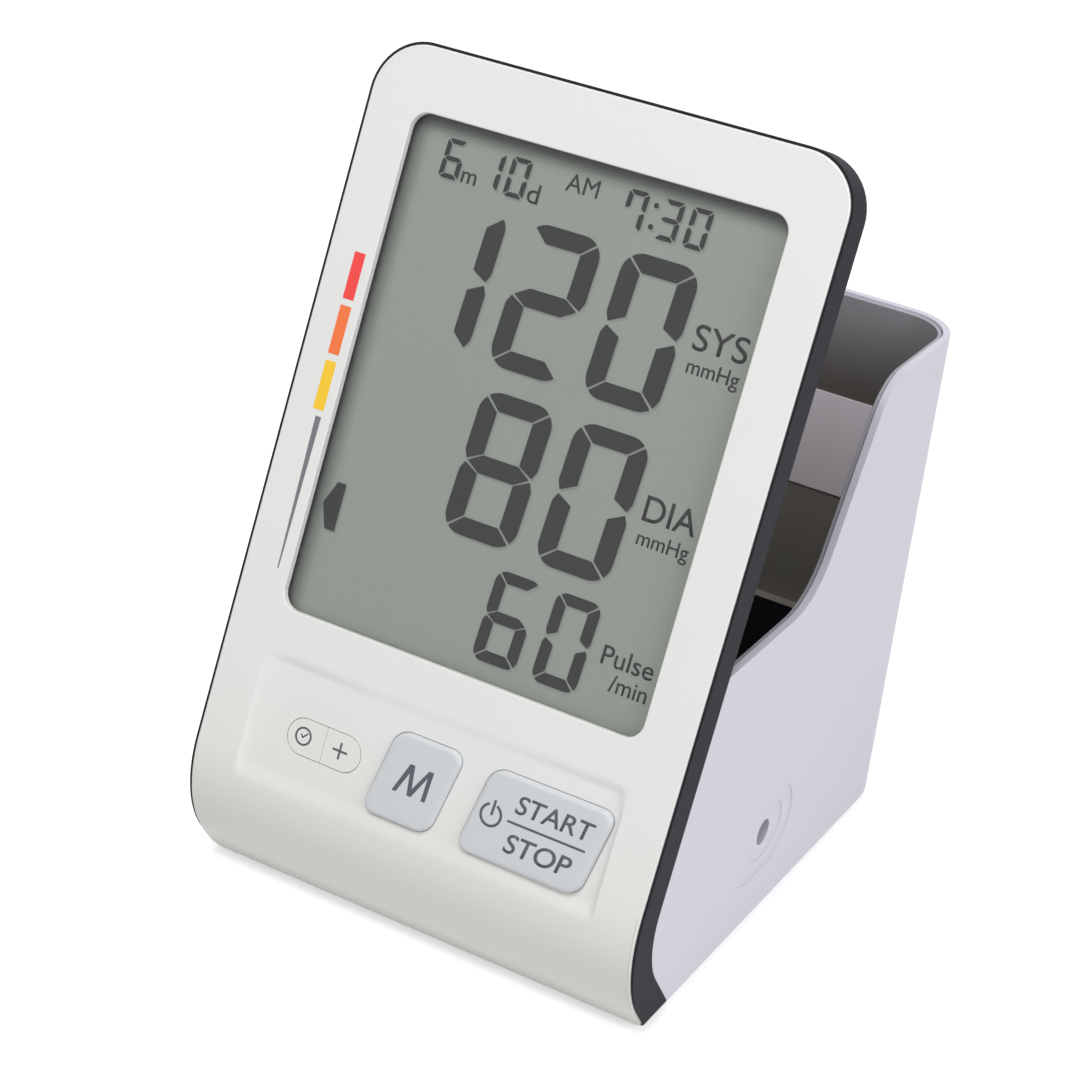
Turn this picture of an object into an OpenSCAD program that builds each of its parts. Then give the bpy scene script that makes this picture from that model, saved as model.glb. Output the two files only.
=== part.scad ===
// Upper-arm blood pressure monitor: a leaning display head on a base that
// holds the pump and the batteries, with an open bin for the cuff behind it.
// X runs across the display, Y from front to back, Z up. Millimetres.

/* [Body] */
// Width of the whole monitor
body_w = 105; // [104:1:118]
// Length of the display head along its slope, from the ground to its top
head_len = 182; // [178:1:196]
// Lean of the display head back from upright, in degrees
head_lean = 20.4; // [18:0.2:23]
// Distance from the foot of the slope line to the back of the bin
body_depth = 139.5; // [136:0.5:150]
// Radius of the head's two top corners, seen from the front
head_corner_r = 11.5; // [10:0.5:16]
// Radius of the bin's two rear corners, seen from above
rear_corner_r = 12.4; // [9:0.2:16]
// Radius of the edges along the bottom
bottom_r = 2.5; // [1.6:0.1:3.4]

/* [Chin] */
// Radius of the chin under the keys
chin_r = 26; // [22:0.5:29]
// Slope of the chin's underside from upright, in degrees
chin_slope = 38; // [34:0.5:42]
// Distance from the foot of the slope line to where the chin meets the ground
chin_foot = 20.8; // [19:0.2:23]

/* [Head shells] */
// Thickness of the white front cover
cover_t = 1.6; // [1.4:0.1:1.8]
// Depth of the dark trim frame behind the front face
trim_depth = 8; // [7.8:0.1:9]
// Wall of the dark trim frame
trim_wall = 3.4; // [3:0.1:3.6]
// Width of the trim frame's rim round the front cover
rim_w = 0.5; // [0.4:0.05:0.8]
// How far the rim lies behind the front face
rim_back = 0.4; // [0.2:0.1:0.8]
// Depth of the tray on the head's back
tray_depth = 5; // [4.4:0.2:7]
// Wall of the tray on the head's back
tray_wall = 1.6; // [1.2:0.1:2]

/* [Display] */
// Margin between the head's sides and the display window
window_side = 11.1; // [10.8:0.1:14]
// Margin between the head's top and the display window
window_top = 13.4; // [12:0.2:18]
// Distance between the key pocket and the display window
window_sill = 9.2; // [8:0.2:12]
// Corner radius of the display window
window_r = 3.8; // [2:0.2:6]
// Thickness of the clear window
lens_t = 1; // [0.8:0.1:1]
// Thickness of the liquid crystal cell
cell_t = 1.8; // [1.4:0.1:2]
// Thickness of the main circuit board
board_t = 1.2; // [1:0.1:1.3]
// Depth of the circuit board's front face behind the front
board_n = 5.6; // [5.5:0.05:5.7]

/* [Keys] */
// Depth of the key pocket at its upper edge
pocket_depth = 1.8; // [1.4:0.1:2]
// Height of the pocket's lower edge along the slope
pocket_v = 30.6; // [29.6:0.2:31.6]
// Height of the pocket along the slope
pocket_h = 25.6; // [24.6:0.2:26.6]
// Margin between the head's sides and the pocket
pocket_side = 11.2; // [10:0.2:13]
// Width of the sloped facet at the pocket's left end
pocket_facet = 7; // [4:0.2:9]
// Width of the sloped facet at the pocket's right end
pocket_end = 2; // [1:0.2:3]
// Depth of the key pocket at its lower edge
pocket_low_depth = 0.3; // [0.1:0.1:0.8]
// Width of the start and stop key, as a share of the pocket's width
start_share = 0.335; // [0.3:0.005:0.34]
// Width of the memory key, as a share of the pocket's width
memory_share = 0.191; // [0.16:0.002:0.2]
// Height of the two large keys, as a share of the pocket's height
key_share = 0.72; // [0.64:0.01:0.74]
// Sideways slant of the large keys' ends, run over rise
key_skew = 0.2; // [0:0.02:0.26]
// Corner radius of the large keys
key_r = 3.2; // [2:0.2:4.2]
// How far the large keys stand above the front face
key_proud = 0.5; // [0.2:0.1:1]
// Width of the oval that holds the two small keys, as a share of the pocket's width
oval_share = 0.21; // [0.18:0.002:0.22]
// Height of the oval that holds the two small keys, as a share of the large keys' height
oval_tall = 0.4; // [0.35:0.01:0.45]
// Travel of the keys
key_travel = 0.8; // [0.4:0.1:0.8]
// Clearance round a key in its hole
key_gap = 0.3; // [0.25:0.05:0.4]

/* [Bin] */
// Wall of the rear housing
wall = 1.6; // [1.4:0.1:2.4]
// Height of the side walls beside the display head
rim_low = 73.8; // [68:0.2:78]
// Height of the bin's rim at the back
rim_high = 115.3; // [108:0.2:122]
// Distance from the foot of the slope line to the start of the rim's rise
rim_start = 65.5; // [62:0.5:68]
// Radius at the foot of the rim's rise
rim_foot_r = 17.2; // [14:0.2:19]
// Radius at the top of the rim's rise
rim_top_r = 13.4; // [11:0.2:15]
// Steepness of the rim's rise, in degrees
rim_slope = 61; // [56:1:66]
// Height of the bin's floor
bin_floor = 38.5; // [38.5:0.5:46]
// Wall of the dark liner
liner_t = 0.9; // [0.8:0.1:1.6]
// How far the liner's edge lies below the housing's rim
liner_drop = 0.4; // [0.2:0.1:2]
// Thickness of the mat on the bin's floor
mat_t = 0.8; // [0.6:0.1:1.2]
// Margin between the liner's wall and the mat
mat_margin = 4; // [1:0.5:6]
// Height of the bare strip on the bin's rear wall
strip_h = 23.5; // [18:0.5:26]
// Height of the strip's lower edge
strip_z = 68; // [64:0.5:76]

/* [Base] */
// Thickness of the base plate
base_t = 2.6; // [2.4:0.1:3]
// How far the rubber feet stand out below the base
foot_proud = 0.8; // [0.6:0.1:1.5]
// Radius of the rubber feet
foot_r = 5; // [4:0.2:5.6]
// Diameter of one battery cell
cell_d = 14.5; // [14:0.1:14.5]
// Length of one battery cell
cell_len = 50.5; // [49:0.1:50.5]
// How many battery cells lie side by side
cell_count = 4; // [2:1:4]

/* [Pump and air] */
// Diameter of the pump's motor
motor_d = 24; // [20:0.5:25]
// Length of the pump's motor
motor_len = 30; // [26:0.5:33]
// Diameter of the pump's head
head_d = 27; // [25.5:0.5:28]
// Radius of the motor's shaft
shaft_r = 1; // [0.8:0.05:1.4]
// Outer radius of the air tubes
tube_r = 2.2; // [1.9:0.05:2.4]
// Radius of the nozzles that the air tubes slip over
nozzle_r = 1.3; // [1:0.05:1.5]
// Radius of the cuff inlet's bore
inlet_r = 2.1; // [1.8:0.05:2.6]
// Radius of the power inlet's hole in the side wall
power_r = 2.9; // [2.7:0.05:3.2]
// Height of the two side inlets above the base's underside
side_inlet_z = 21.7; // [20:0.1:22.6]
// Distance of the two side inlets from the foot of the slope line
side_inlet_y = 69; // [68:0.2:70]

/* [Hidden] */
$fn = 64;

// Small clearances and cutting lengths
seam = 0.1;
slip = 0.15;
rim_slip = 0.08;
recess_t = 0.25;
inlet_collar = 0.8;
fit = 0.3;
run_gap = 0.03;
over = 1;
far = 260;
chin_steps = 24;
rim_steps = 16;

half_w = body_w / 2;
lean_sin = sin(head_lean);
lean_cos = cos(head_lean);

// Chin: two straight lines, joined by an arc
line_cross_z = chin_foot / (tan(head_lean) + tan(chin_slope));
chin_tangent = chin_r * tan((head_lean + chin_slope) / 2);
chin_top_z = line_cross_z + chin_tangent * lean_cos;
chin_y = chin_top_z * tan(head_lean) + chin_r * lean_cos;
chin_z = chin_top_z - chin_r * lean_sin;
front_y = chin_y - chin_r;
centre_y = (front_y + body_depth) / 2;

// Depths of the layers behind the front face
lens_n = cover_t;
cell_n = lens_n + lens_t + 0.1;
pocket_back_n = pocket_depth + 1.4;
pad_t = 0.3;
stem_n = board_n - pad_t - key_travel - 0.1;
key_flange_n = pocket_back_n + slip;
key_flange_t = 0.75;
tray_n = trim_depth + tray_depth;
flange_t = 1.4;

// Display pieces, across and along the slope
window_w = body_w - 2 * window_side;
window_v = pocket_v + pocket_h + window_sill;
window_h = head_len - window_top - window_v;
window_mid = window_v + window_h / 2;
lens_lap = 2.6;
cell_lap = 1.6;
holder_wall = 1.5;
holder_half_h = window_h / 2 + cell_lap + slip + holder_wall;
trim_boss_r = 2.2;
trim_boss_u = half_w - 5;
board_half_w = trim_boss_u - trim_boss_r - fit;
holder_half_w = board_half_w - 0.35;
board_low = 22;
board_top = head_len - trim_wall - 1.2;
board_boss_r = 1.8;
board_boss_u = board_half_w - 5;
board_boss_v = [board_low + 3, board_top - 2.6];
screw_pilot_r = 0.8;
head_screw_low = (rim_low + 10) / lean_cos;
head_screw_v = [for (k = [0:2]) head_screw_low + k * (head_len - 13 - head_screw_low) / 2];
flange_inset = trim_wall - 0.7;
tray_inset = half_w - trim_boss_u + trim_boss_r + 0.1;

// Keys: centres across and along the slope
pocket_w = body_w - 2 * pocket_side;
start_w = start_share * pocket_w;
memory_w = memory_share * pocket_w;
oval_w = oval_share * pocket_w;
key_h = key_share * pocket_h;
oval_h = oval_tall * key_h;
key_v = pocket_v + 0.43 * pocket_h;
start_u = pocket_w / 2 - start_w / 2 - key_h / 2 * key_skew + 0.2;
memory_u = start_u - start_w / 2 - memory_w / 2 - 0.076 * pocket_w;
oval_u = memory_u - memory_w / 2 - oval_w / 2 - 0.061 * pocket_w;
pocket_fall = (pocket_depth - pocket_low_depth)
    / (pocket_h - pocket_low_depth - pocket_depth * 0.6);
small_key_n = pocket_low_depth
    + pocket_fall * (key_v - oval_h / 2 - pocket_v - pocket_low_depth);
cap_edge = 0.9;

// Rim of the bin: a low level, a rise between two arcs, a high level
rise_len = (rim_high - rim_low - (rim_foot_r + rim_top_r) * (1 - cos(rim_slope))) / sin(rim_slope);
rim_end = rim_start + (rim_foot_r + rim_top_r) * sin(rim_slope) + rise_len * cos(rim_slope);

// Liner
liner_inset = wall + slip;
liner_inner = liner_inset + liner_t;
strip_half_w = half_w - liner_inner - max(rear_corner_r - liner_inner, 1) - 0.5;

// Batteries
cell_pitch = cell_d + 0.4;
box_half_w = cell_count * cell_pitch / 2 + 0.8;
box_wall = 1.4;
box_rear = body_depth - wall - 3;
box_front = box_rear - cell_len - 6;
cell_z = base_t + 0.3 + cell_d / 2;
box_top = cell_z + cell_d / 2 + 0.4;
rail_low = 0.75;
rail_high = 1.95;
door_half_w = box_half_w + 1.4;
door_front = box_front - 1;
spring_len = 3.6;
spring_wire = 0.5;

// Pump
pump_y = 45;
pump_z = base_t + 19.4;
motor_x = -9;
pump_len = 18;
nozzle_len = 4;
pump_nozzle_z = pump_z - 3;
elbow_r = 5;

// Air parts on the left
line_apart = tube_r + 0.7;
air_x = -(half_w - 13.5);
pump_line_x = air_x - line_apart;
sensor_line_x = air_x + line_apart;
manifold_size = [12, 15, 16];
manifold_y = side_inlet_y - 8.5;
manifold_z = side_inlet_z - 6.5;
valve_y = manifold_y + 5.5;
valve_r = 5;
valve_len = 15;
valve_x = air_x + manifold_size[0] / 2 + 6;
valve_z = box_top + box_wall + valve_r + 0.4;
plunger_r = 1.5;
sensor_size = [8, 8, 3];
liner_low = bin_floor - liner_t;
sensor_v = (liner_low + (trim_depth + flange_t + fit) * lean_sin) / lean_cos - sensor_size[1] / 2 - 0.8;
sensor_port_n = board_n + board_t + sensor_size[2];
sensor_reach = (manifold_y - sensor_v * lean_sin) / lean_cos - sensor_port_n;

// Screws, feet and bosses of the base
boss_r = 3.4;
boss_top = 16;
base_boss_x = half_w - 7;
base_boss_y = [51, body_depth - 9.5];
foot_x = door_half_w + 0.2 + foot_r + 2.8;
foot_y = [38.5, body_depth - 22];
foot_sunk = 0.6;

// Moves everything so that the origin is at the bottom centre.
module placed() {
    translate([0, -centre_y, foot_proud]) children();
}

// Turns children from the head's own axes: X across, Z up the slope, Y inwards.
module on_head() {
    rotate([-head_lean, 0, 0]) children();
}

// A plate between two depths behind the front face, from an outline across and up the slope.
module head_plate(n0, n1) {
    translate([0, n1, 0]) rotate([90, 0, 0]) linear_extrude(n1 - n0) children();
}

// Extrudes an outline in Y and Z across the body, to both sides.
module across(width) {
    rotate([90, 0, 90]) linear_extrude(width, center = true) children();
}

// A rectangle with round corners, from its lower left corner.
module round_rect(w, h, r) {
    translate([r, 0]) square([w - 2 * r, h]);
    translate([0, r]) square([w, h - 2 * r]);
    for (x = [r, w - r], y = [r, h - r]) translate([x, y]) circle(r);
}

// A rounded rectangle about a centre.
module centred_rect(w, h, r) {
    translate([-w / 2, -h / 2]) round_rect(w, h, r);
}

// A strip with half-round ends, about its centre.
module stadium(w, h) {
    square([w - h, h], center = true);
    for (s = [-1, 1]) translate([s * (w - h) / 2, 0]) circle(h / 2);
}

// A pad with round corners and slanted ends, about its centre.
module slanted_pad(w, h, r, skew) {
    rise = h / 2 - r;
    slant = sqrt(1 + skew * skew);
    side = [r / slant, -r * skew / slant];
    centres = [
        [w / 2 + skew * rise - r * slant, rise],
        [-w / 2 + skew * rise + r * slant, rise],
        [-w / 2 - skew * rise + r * slant, -rise],
        [w / 2 - skew * rise - r * slant, -rise]];
    polygon([centres[0] + side, centres[0] + [0, r], centres[1] + [0, r], centres[1] - side,
        centres[2] - side, centres[2] - [0, r], centres[3] - [0, r], centres[3] + side]);
    for (c = centres) translate(c) circle(r);
}

// Points along an arc about c, from angle a0 to angle a1.
function arc(c, r, a0, a1, steps) =
    [for (k = [0:steps]) let(a = a0 + (a1 - a0) * k / steps) c + r * [cos(a), sin(a)]];

// Points down the front face and round the chin, at a depth d behind them.
function front_line(d) =
    let(r = chin_r - d,
        bend = arc([chin_y, chin_z], r, 180 - head_lean, 180 + chin_slope, chin_steps),
        top = bend[0] + far * [lean_sin, lean_cos],
        low = bend[chin_steps] + chin_r * 2 * [sin(chin_slope), -cos(chin_slope)])
    concat([top], bend, [low]);

// The same points in the other order.
function reversed(points) = [for (k = [len(points) - 1:-1:0]) points[k]];

// Outline in Y and Z of all that lies deeper than d behind the front face and the chin.
module behind_front(d) {
    line = front_line(d);
    polygon(concat(line, [[far, line[len(line) - 1][1]], [far, line[0][1]]]));
}

// Outline in Y and Z of the layer between two depths.
module front_layer(d0, d1) {
    polygon(concat(front_line(d0), reversed(front_line(d1))));
}

// The head's outline from the front, with its top corners, drawn in by an inset.
module head_outline(inset) {
    r = head_corner_r - inset;
    w = body_w - 2 * inset;
    top = head_len - inset;
    translate([-w / 2, -far / 2]) square([w, top - r + far / 2]);
    translate([-w / 2 + r, 0]) square([w - 2 * r, top]);
    for (s = [-1, 1]) translate([s * (w / 2 - r), top - r]) circle(r);
}

// The body's outline in X and Z, with its bottom corners, drawn in by an inset.
module bottom_outline(inset) {
    r = max(bottom_r - inset, 0.4);
    w = body_w - 2 * inset;
    translate([-w / 2, inset]) {
        translate([0, r]) square([w, far]);
        translate([r, 0]) square([w - 2 * r, far]);
        for (x = [r, w - r]) translate([x, r]) circle(r);
    }
}

// A solid layer of the head between two depths, drawn in by an inset on every side.
module head_layer(d0, d1, inset) {
    intersection() {
        across(body_w + 2 * over) front_layer(d0, d1);
        on_head() head_plate(-20, 60) head_outline(inset);
        translate([0, far / 2, 0]) rotate([90, 0, 0]) linear_extrude(far) bottom_outline(inset);
    }
}

// Outline in X and Y of the bin, open to the front, drawn in by an inset.
module bin_plan(inset) {
    r = max(rear_corner_r - inset, 1);
    w = body_w - 2 * inset;
    rear = body_depth - inset;
    translate([-w / 2, 0]) square([w, rear - r]);
    translate([-w / 2 + r, 0]) square([w - 2 * r, rear]);
    for (s = [-1, 1]) translate([s * (w / 2 - r), rear - r]) circle(r);
}

// The bin's outer block, with its bottom edge rounded all along.
module bin_block() {
    corner_x = half_w - rear_corner_r;
    corner_y = body_depth - rear_corner_r;
    translate([0, corner_y, 0]) rotate([90, 0, 0]) linear_extrude(corner_y) bottom_outline(0);
    across(2 * corner_x) {
        square([body_depth - bottom_r, rim_high + over]);
        translate([0, bottom_r]) square([body_depth, rim_high + over - bottom_r]);
        translate([body_depth - bottom_r, bottom_r]) circle(bottom_r);
    }
    for (s = [-1, 1]) translate([s * corner_x, corner_y, 0]) rotate_extrude() {
        square([rear_corner_r - bottom_r, rim_high + over]);
        translate([0, bottom_r]) square([rear_corner_r, rim_high + over - bottom_r]);
        translate([rear_corner_r - bottom_r, bottom_r]) circle(bottom_r);
    }
}

// Outline in Y and Z of all that lies under the bin's rim, lowered by a drop.
module under_rim(drop) {
    foot = arc([rim_start, rim_low + rim_foot_r], rim_foot_r + drop, 270, 270 + rim_slope, rim_steps);
    top = arc([rim_end, rim_high - rim_top_r], rim_top_r - drop, 90 + rim_slope, 90, rim_steps);
    polygon(concat([[-far, -far], [-far, rim_low - drop]], foot, top,
        [[far, rim_high - drop], [far, -far]]));
}

// A round rod along X, from x0 to x1.
module rod_x(x0, x1, r) {
    translate([x0, 0, 0]) rotate([0, 90, 0]) cylinder(r = r, h = x1 - x0);
}

// A screw that points along +Z, with its head below the origin and a cross recess.
module screw(shank_r, shank_len, head_r, head_h) {
    cylinder(r = shank_r, h = shank_len);
    difference() {
        translate([0, 0, -head_h]) cylinder(r = head_r, h = head_h);
        for (a = [0, 90]) rotate(a) translate([-head_r * 0.6, -0.3, -head_h - over])
            cube([head_r * 1.2, 0.6, over + head_h * 0.6]);
    }
}

// The pocket for the keys: its floor sinks towards the top, its left end is a sloped facet.
module key_pocket() {
    top = pocket_v + pocket_h;
    half = pocket_w / 2;
    intersection() {
        rotate([90, 0, 90]) linear_extrude(body_w, center = true)
            polygon([[-over, pocket_v], [0, pocket_v],
                [pocket_low_depth, pocket_v + pocket_low_depth],
                [pocket_depth, top - pocket_depth * 0.6], [0, top], [-over, top]]);
        translate([0, 0, pocket_v - over]) linear_extrude(pocket_h + 2 * over)
            polygon([[-half, -over], [-half, 0], [-half + pocket_facet, pocket_depth + 0.01],
                [half - pocket_end, pocket_depth + 0.01], [half, 0], [half, -over]]);
        head_plate(-over, pocket_depth + over)
            translate([-half, pocket_v - 3]) round_rect(pocket_w, pocket_h + 3, 2);
    }
}

// Outline of one large key, grown by a margin.
module large_key(u, w, margin) {
    translate([u, key_v]) slanted_pad(w + 2 * margin, key_h + 2 * margin, key_r + margin, key_skew);
}

// Outline of the oval for the small keys, grown by a margin.
module small_oval(margin) {
    translate([oval_u, key_v]) stadium(oval_w + 2 * margin, oval_h + 2 * margin);
}

// Section of a cap that is w wide: its two front edges are rounded. Points are [along w, depth].
function cap_section(w) =
    let(half = w / 2 - cap_edge, front = cap_edge - key_proud)
    concat(arc([-half, front], cap_edge, 180, 270, 5), arc([half, front], cap_edge, 270, 360, 5),
        [[w / 2, key_flange_n + key_flange_t], [-w / 2, key_flange_n + key_flange_t]]);

// A large key: a cap with rounded front edges, a flange behind the cover and a stem.
module large_key_solid(u, w) {
    slant = atan(key_skew);
    on_head() {
        intersection() {
            head_plate(-key_proud, key_flange_n + key_flange_t) large_key(u, w, 0);
            translate([u - w, 0, key_v]) rotate([90, 0, 90]) linear_extrude(2 * w)
                polygon([for (p = cap_section(key_h)) [p[1], p[0]]]);
            translate([u, 0, key_v]) rotate([0, slant, 0]) translate([0, 0, -key_h])
                linear_extrude(2 * key_h) polygon(cap_section(w * cos(slant)));
        }
        head_plate(key_flange_n, key_flange_n + key_flange_t) large_key(u, w, 1);
        translate([u, stem_n, key_v]) rotate([90, 0, 0])
            cylinder(r = 3, h = stem_n - key_flange_n);
    }
}

// One small key: half of the oval. side is -1 for the left one, 1 for the right one.
module small_key_solid(side) {
    split = 0.15;
    on_head() {
        intersection() {
            union() {
                head_plate(small_key_n, key_flange_n + key_flange_t) small_oval(0);
                head_plate(key_flange_n, key_flange_n + key_flange_t) small_oval(0.9);
            }
            translate([side > 0 ? oval_u + split : oval_u - split - oval_w, -over, 0])
                cube([oval_w, 3 * over + stem_n, 2 * key_v]);
        }
        translate([oval_u + side * oval_w / 4, stem_n, key_v]) rotate([90, 0, 0])
            cylinder(r = 1.5, h = stem_n - key_flange_n);
    }
}

module front_cover() {
    back_w = pocket_w + 4;
    color([0.93, 0.93, 0.92]) placed() difference() {
        union() {
            head_layer(0, cover_t, rim_w + rim_slip);
            difference() {
                head_layer(cover_t, cover_t + 1.5, trim_wall + slip);
                head_layer(cover_t - over, cover_t + 1.5 + over, trim_wall + slip + 1.2);
            }
            intersection() {
                across(body_w) behind_front(cover_t / 2);
                on_head() union() {
                    head_plate(0, pocket_back_n)
                        translate([-back_w / 2, pocket_v - 1.8]) square([back_w, pocket_h + 3.4]);
                    for (s = [-1, 1], v = board_boss_v)
                        translate([s * board_boss_u, board_n, v]) rotate([90, 0, 0])
                            cylinder(r = board_boss_r, h = board_n);
                }
            }
        }
        on_head() {
            head_plate(-over, cover_t + over)
                translate([0, window_mid]) centred_rect(window_w, window_h, window_r);
            key_pocket();
            head_plate(-over, pocket_back_n + over) large_key(start_u, start_w, key_gap);
            head_plate(-over, pocket_back_n + over) large_key(memory_u, memory_w, key_gap);
            head_plate(-over, pocket_back_n + over) small_oval(key_gap);
            for (s = [-1, 1], v = board_boss_v)
                translate([s * board_boss_u, board_n + over, v]) rotate([90, 0, 0])
                    cylinder(r = screw_pilot_r, h = board_n - 3 + over);
        }
    }
}

module trim_frame() {
    tab_low = 10;
    color([0.29, 0.3, 0.33]) placed() difference() {
        union() {
            difference() {
                head_layer(rim_back, trim_depth, 0);
                head_layer(-over, cover_t, rim_w);
                head_layer(cover_t - over, trim_depth + over, trim_wall);
            }
            on_head() for (s = [-1, 1], v = head_screw_v)
                translate([s * trim_boss_u, trim_depth, v]) rotate([90, 0, 0])
                    cylinder(r = trim_boss_r, h = trim_depth - cover_t - 1.8);
            for (s = [-1, 1]) intersection() {
                across(body_w) front_layer(cover_t + 3, trim_depth + 5);
                translate([s > 0 ? half_w - trim_wall - 1.4 : -half_w + wall + slip, 0, tab_low])
                    cube([trim_wall + 1.4 - wall - slip, far, bin_floor - 4 - tab_low]);
            }
        }
        on_head() for (s = [-1, 1], v = head_screw_v)
            translate([s * trim_boss_u, trim_depth + over, v]) rotate([90, 0, 0])
                cylinder(r = screw_pilot_r, h = trim_depth - cover_t - 2.6 + over);
    }
}

module display_back() {
    floor_z = bin_floor + 0.2;
    rib_pitch = body_w / 8.75;
    rib_h = 0.39 * window_h;
    color([0.3, 0.31, 0.34]) placed() difference() {
        intersection() {
            union() {
                head_layer(trim_depth + seam, trim_depth + flange_t, flange_inset);
                head_layer(trim_depth + seam, tray_n, tray_inset);
            }
            translate([-half_w, 0, floor_z]) cube([body_w, far, far]);
        }
        intersection() {
            head_layer(trim_depth - over, tray_n - tray_wall, tray_inset + tray_wall);
            translate([-half_w, 0, floor_z + tray_wall]) cube([body_w, far, far]);
        }
        on_head() {
            for (s = [-1, 1], v = head_screw_v)
                translate([s * trim_boss_u, tray_n, v]) rotate([90, 0, 0])
                    cylinder(r = 1.15, h = tray_depth + over);
            for (k = [-2:2])
                translate([k * rib_pitch, tray_n + over, window_mid + rib_h / 2]) rotate([90, 0, 0])
                    linear_extrude(over + 0.6) centred_rect(rib_pitch - 4, rib_h, 2);
        }
    }
}

module display_lens() {
    w = window_w + 2 * lens_lap;
    h = window_h + 2 * lens_lap;
    color([0.8, 0.85, 0.85, 0.3]) placed() on_head()
        head_plate(lens_n, lens_n + lens_t)
            translate([0, window_mid]) centred_rect(w, h, window_r);
}

module lcd_cell() {
    w = window_w + 2 * cell_lap;
    h = window_h + 2 * cell_lap;
    color([0.58, 0.6, 0.57]) placed() on_head() translate([0, 0, window_mid]) {
        head_plate(cell_n, cell_n + cell_t / 2) centred_rect(w, h, 0.5);
        head_plate(cell_n + cell_t / 2, cell_n + cell_t) centred_rect(w, h - 4, 0.5);
    }
}

module lcd_holder() {
    inner_w = window_w + 2 * (cell_lap + slip);
    inner_h = window_h + 2 * (cell_lap + slip);
    ledge = 3;
    color([0.85, 0.85, 0.83]) placed() on_head() translate([0, 0, window_mid]) {
        head_plate(lens_n + lens_t, board_n) difference() {
            centred_rect(2 * holder_half_w, 2 * holder_half_h, 1);
            centred_rect(inner_w, inner_h, 0.5);
        }
        for (s = [-1, 1])
            head_plate(cell_n + cell_t, board_n)
                translate([s * (inner_w - ledge) / 2, 0])
                    square([ledge + 0.2, inner_h - 12], center = true);
    }
}

module zebra_strips() {
    color([0.2, 0.2, 0.22]) placed() on_head() for (s = [-1, 1])
        head_plate(cell_n + cell_t, board_n)
            translate([0, window_mid + s * (window_h / 2 - 4)])
                square([window_w - 6, 2.4], center = true);
}

module main_board() {
    color([0.1, 0.4, 0.22]) placed() on_head() head_plate(board_n, board_n + board_t) difference() {
        translate([-board_half_w, board_low]) round_rect(2 * board_half_w, board_top - board_low, 3);
        for (s = [-1, 1], v = board_boss_v) translate([s * board_boss_u, v]) circle(1.05);
    }
}

// One chip on the back of the main board. Its place is a share of the board's half width
// and of the window's height.
module chip(across_share, up_share, size) {
    n = board_n + board_t;
    head_plate(n, n + size[2])
        translate([across_share * board_half_w, window_mid + up_share * window_h])
            square([size[0], size[1]], center = true);
}

module board_chips() {
    n = board_n + board_t;
    color([0.12, 0.12, 0.13]) placed() on_head() {
        chip(0, 0, [14, 14, 1.4]);
        chip(-0.49, -0.14, [6, 5, 1.2]);
        chip(0.44, -0.17, [5, 4, 1.2]);
        chip(-0.44, 0.14, [9, 4, 2]);
        for (k = [-2:2]) chip(0.155 * k, -0.29, [2, 1.2, 0.8]);
        for (s = [-1, 1])
            translate([s * 0.27 * board_half_w, n + 3.4, window_mid + 0.33 * window_h])
                rotate([90, 0, 0]) cylinder(r = 2.5, h = 3.4);
    }
}

module pressure_sensor() {
    n = board_n + board_t;
    color([0.75, 0.76, 0.78]) placed() on_head() translate([sensor_line_x, 0, sensor_v]) {
        head_plate(n, n + sensor_size[2]) square([sensor_size[0], sensor_size[1]], center = true);
        translate([0, n + sensor_size[2] + 3, 0]) rotate([90, 0, 0]) difference() {
            cylinder(r = nozzle_r, h = 3);
            translate([0, 0, -over]) cylinder(r = nozzle_r - 0.6, h = 3 + over);
        }
    }
}

module buzzer() {
    n = board_n + board_t;
    color([0.1, 0.1, 0.1]) placed() on_head()
        translate([board_half_w - 12, n + 3, window_mid + 0.27 * window_h])
            rotate([90, 0, 0]) difference() {
                cylinder(r = 6, h = 3);
                translate([0, 0, -over]) cylinder(r = 1, h = over + 1);
            }
}

module key_contacts() {
    color([0.75, 0.76, 0.74]) placed() on_head()
        for (pad = [[start_u, 3.6], [memory_u, 3.6], [oval_u - oval_w / 4, 2], [oval_u + oval_w / 4, 2]])
            translate([pad[0], board_n, key_v]) rotate([90, 0, 0]) cylinder(r = pad[1], h = pad_t);
}

module start_stop_button() {
    color([0.83, 0.86, 0.9]) placed() large_key_solid(start_u, start_w);
}

module memory_button() {
    color([0.83, 0.86, 0.9]) placed() large_key_solid(memory_u, memory_w);
}

module clock_key() {
    color([0.93, 0.93, 0.92]) placed() small_key_solid(-1);
}

module plus_key() {
    color([0.93, 0.93, 0.92]) placed() small_key_solid(1);
}

// One boss of the housing for a base screw, tied to the side wall.
module base_boss(s, y) {
    reach = half_w - wall / 2 - base_boss_x;
    translate([s * base_boss_x, y, base_t]) {
        cylinder(r = boss_r, h = boss_top - base_t);
        translate([s > 0 ? 0 : -reach, -1, 0]) cube([reach, 2, boss_top - base_t]);
    }
}

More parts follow.
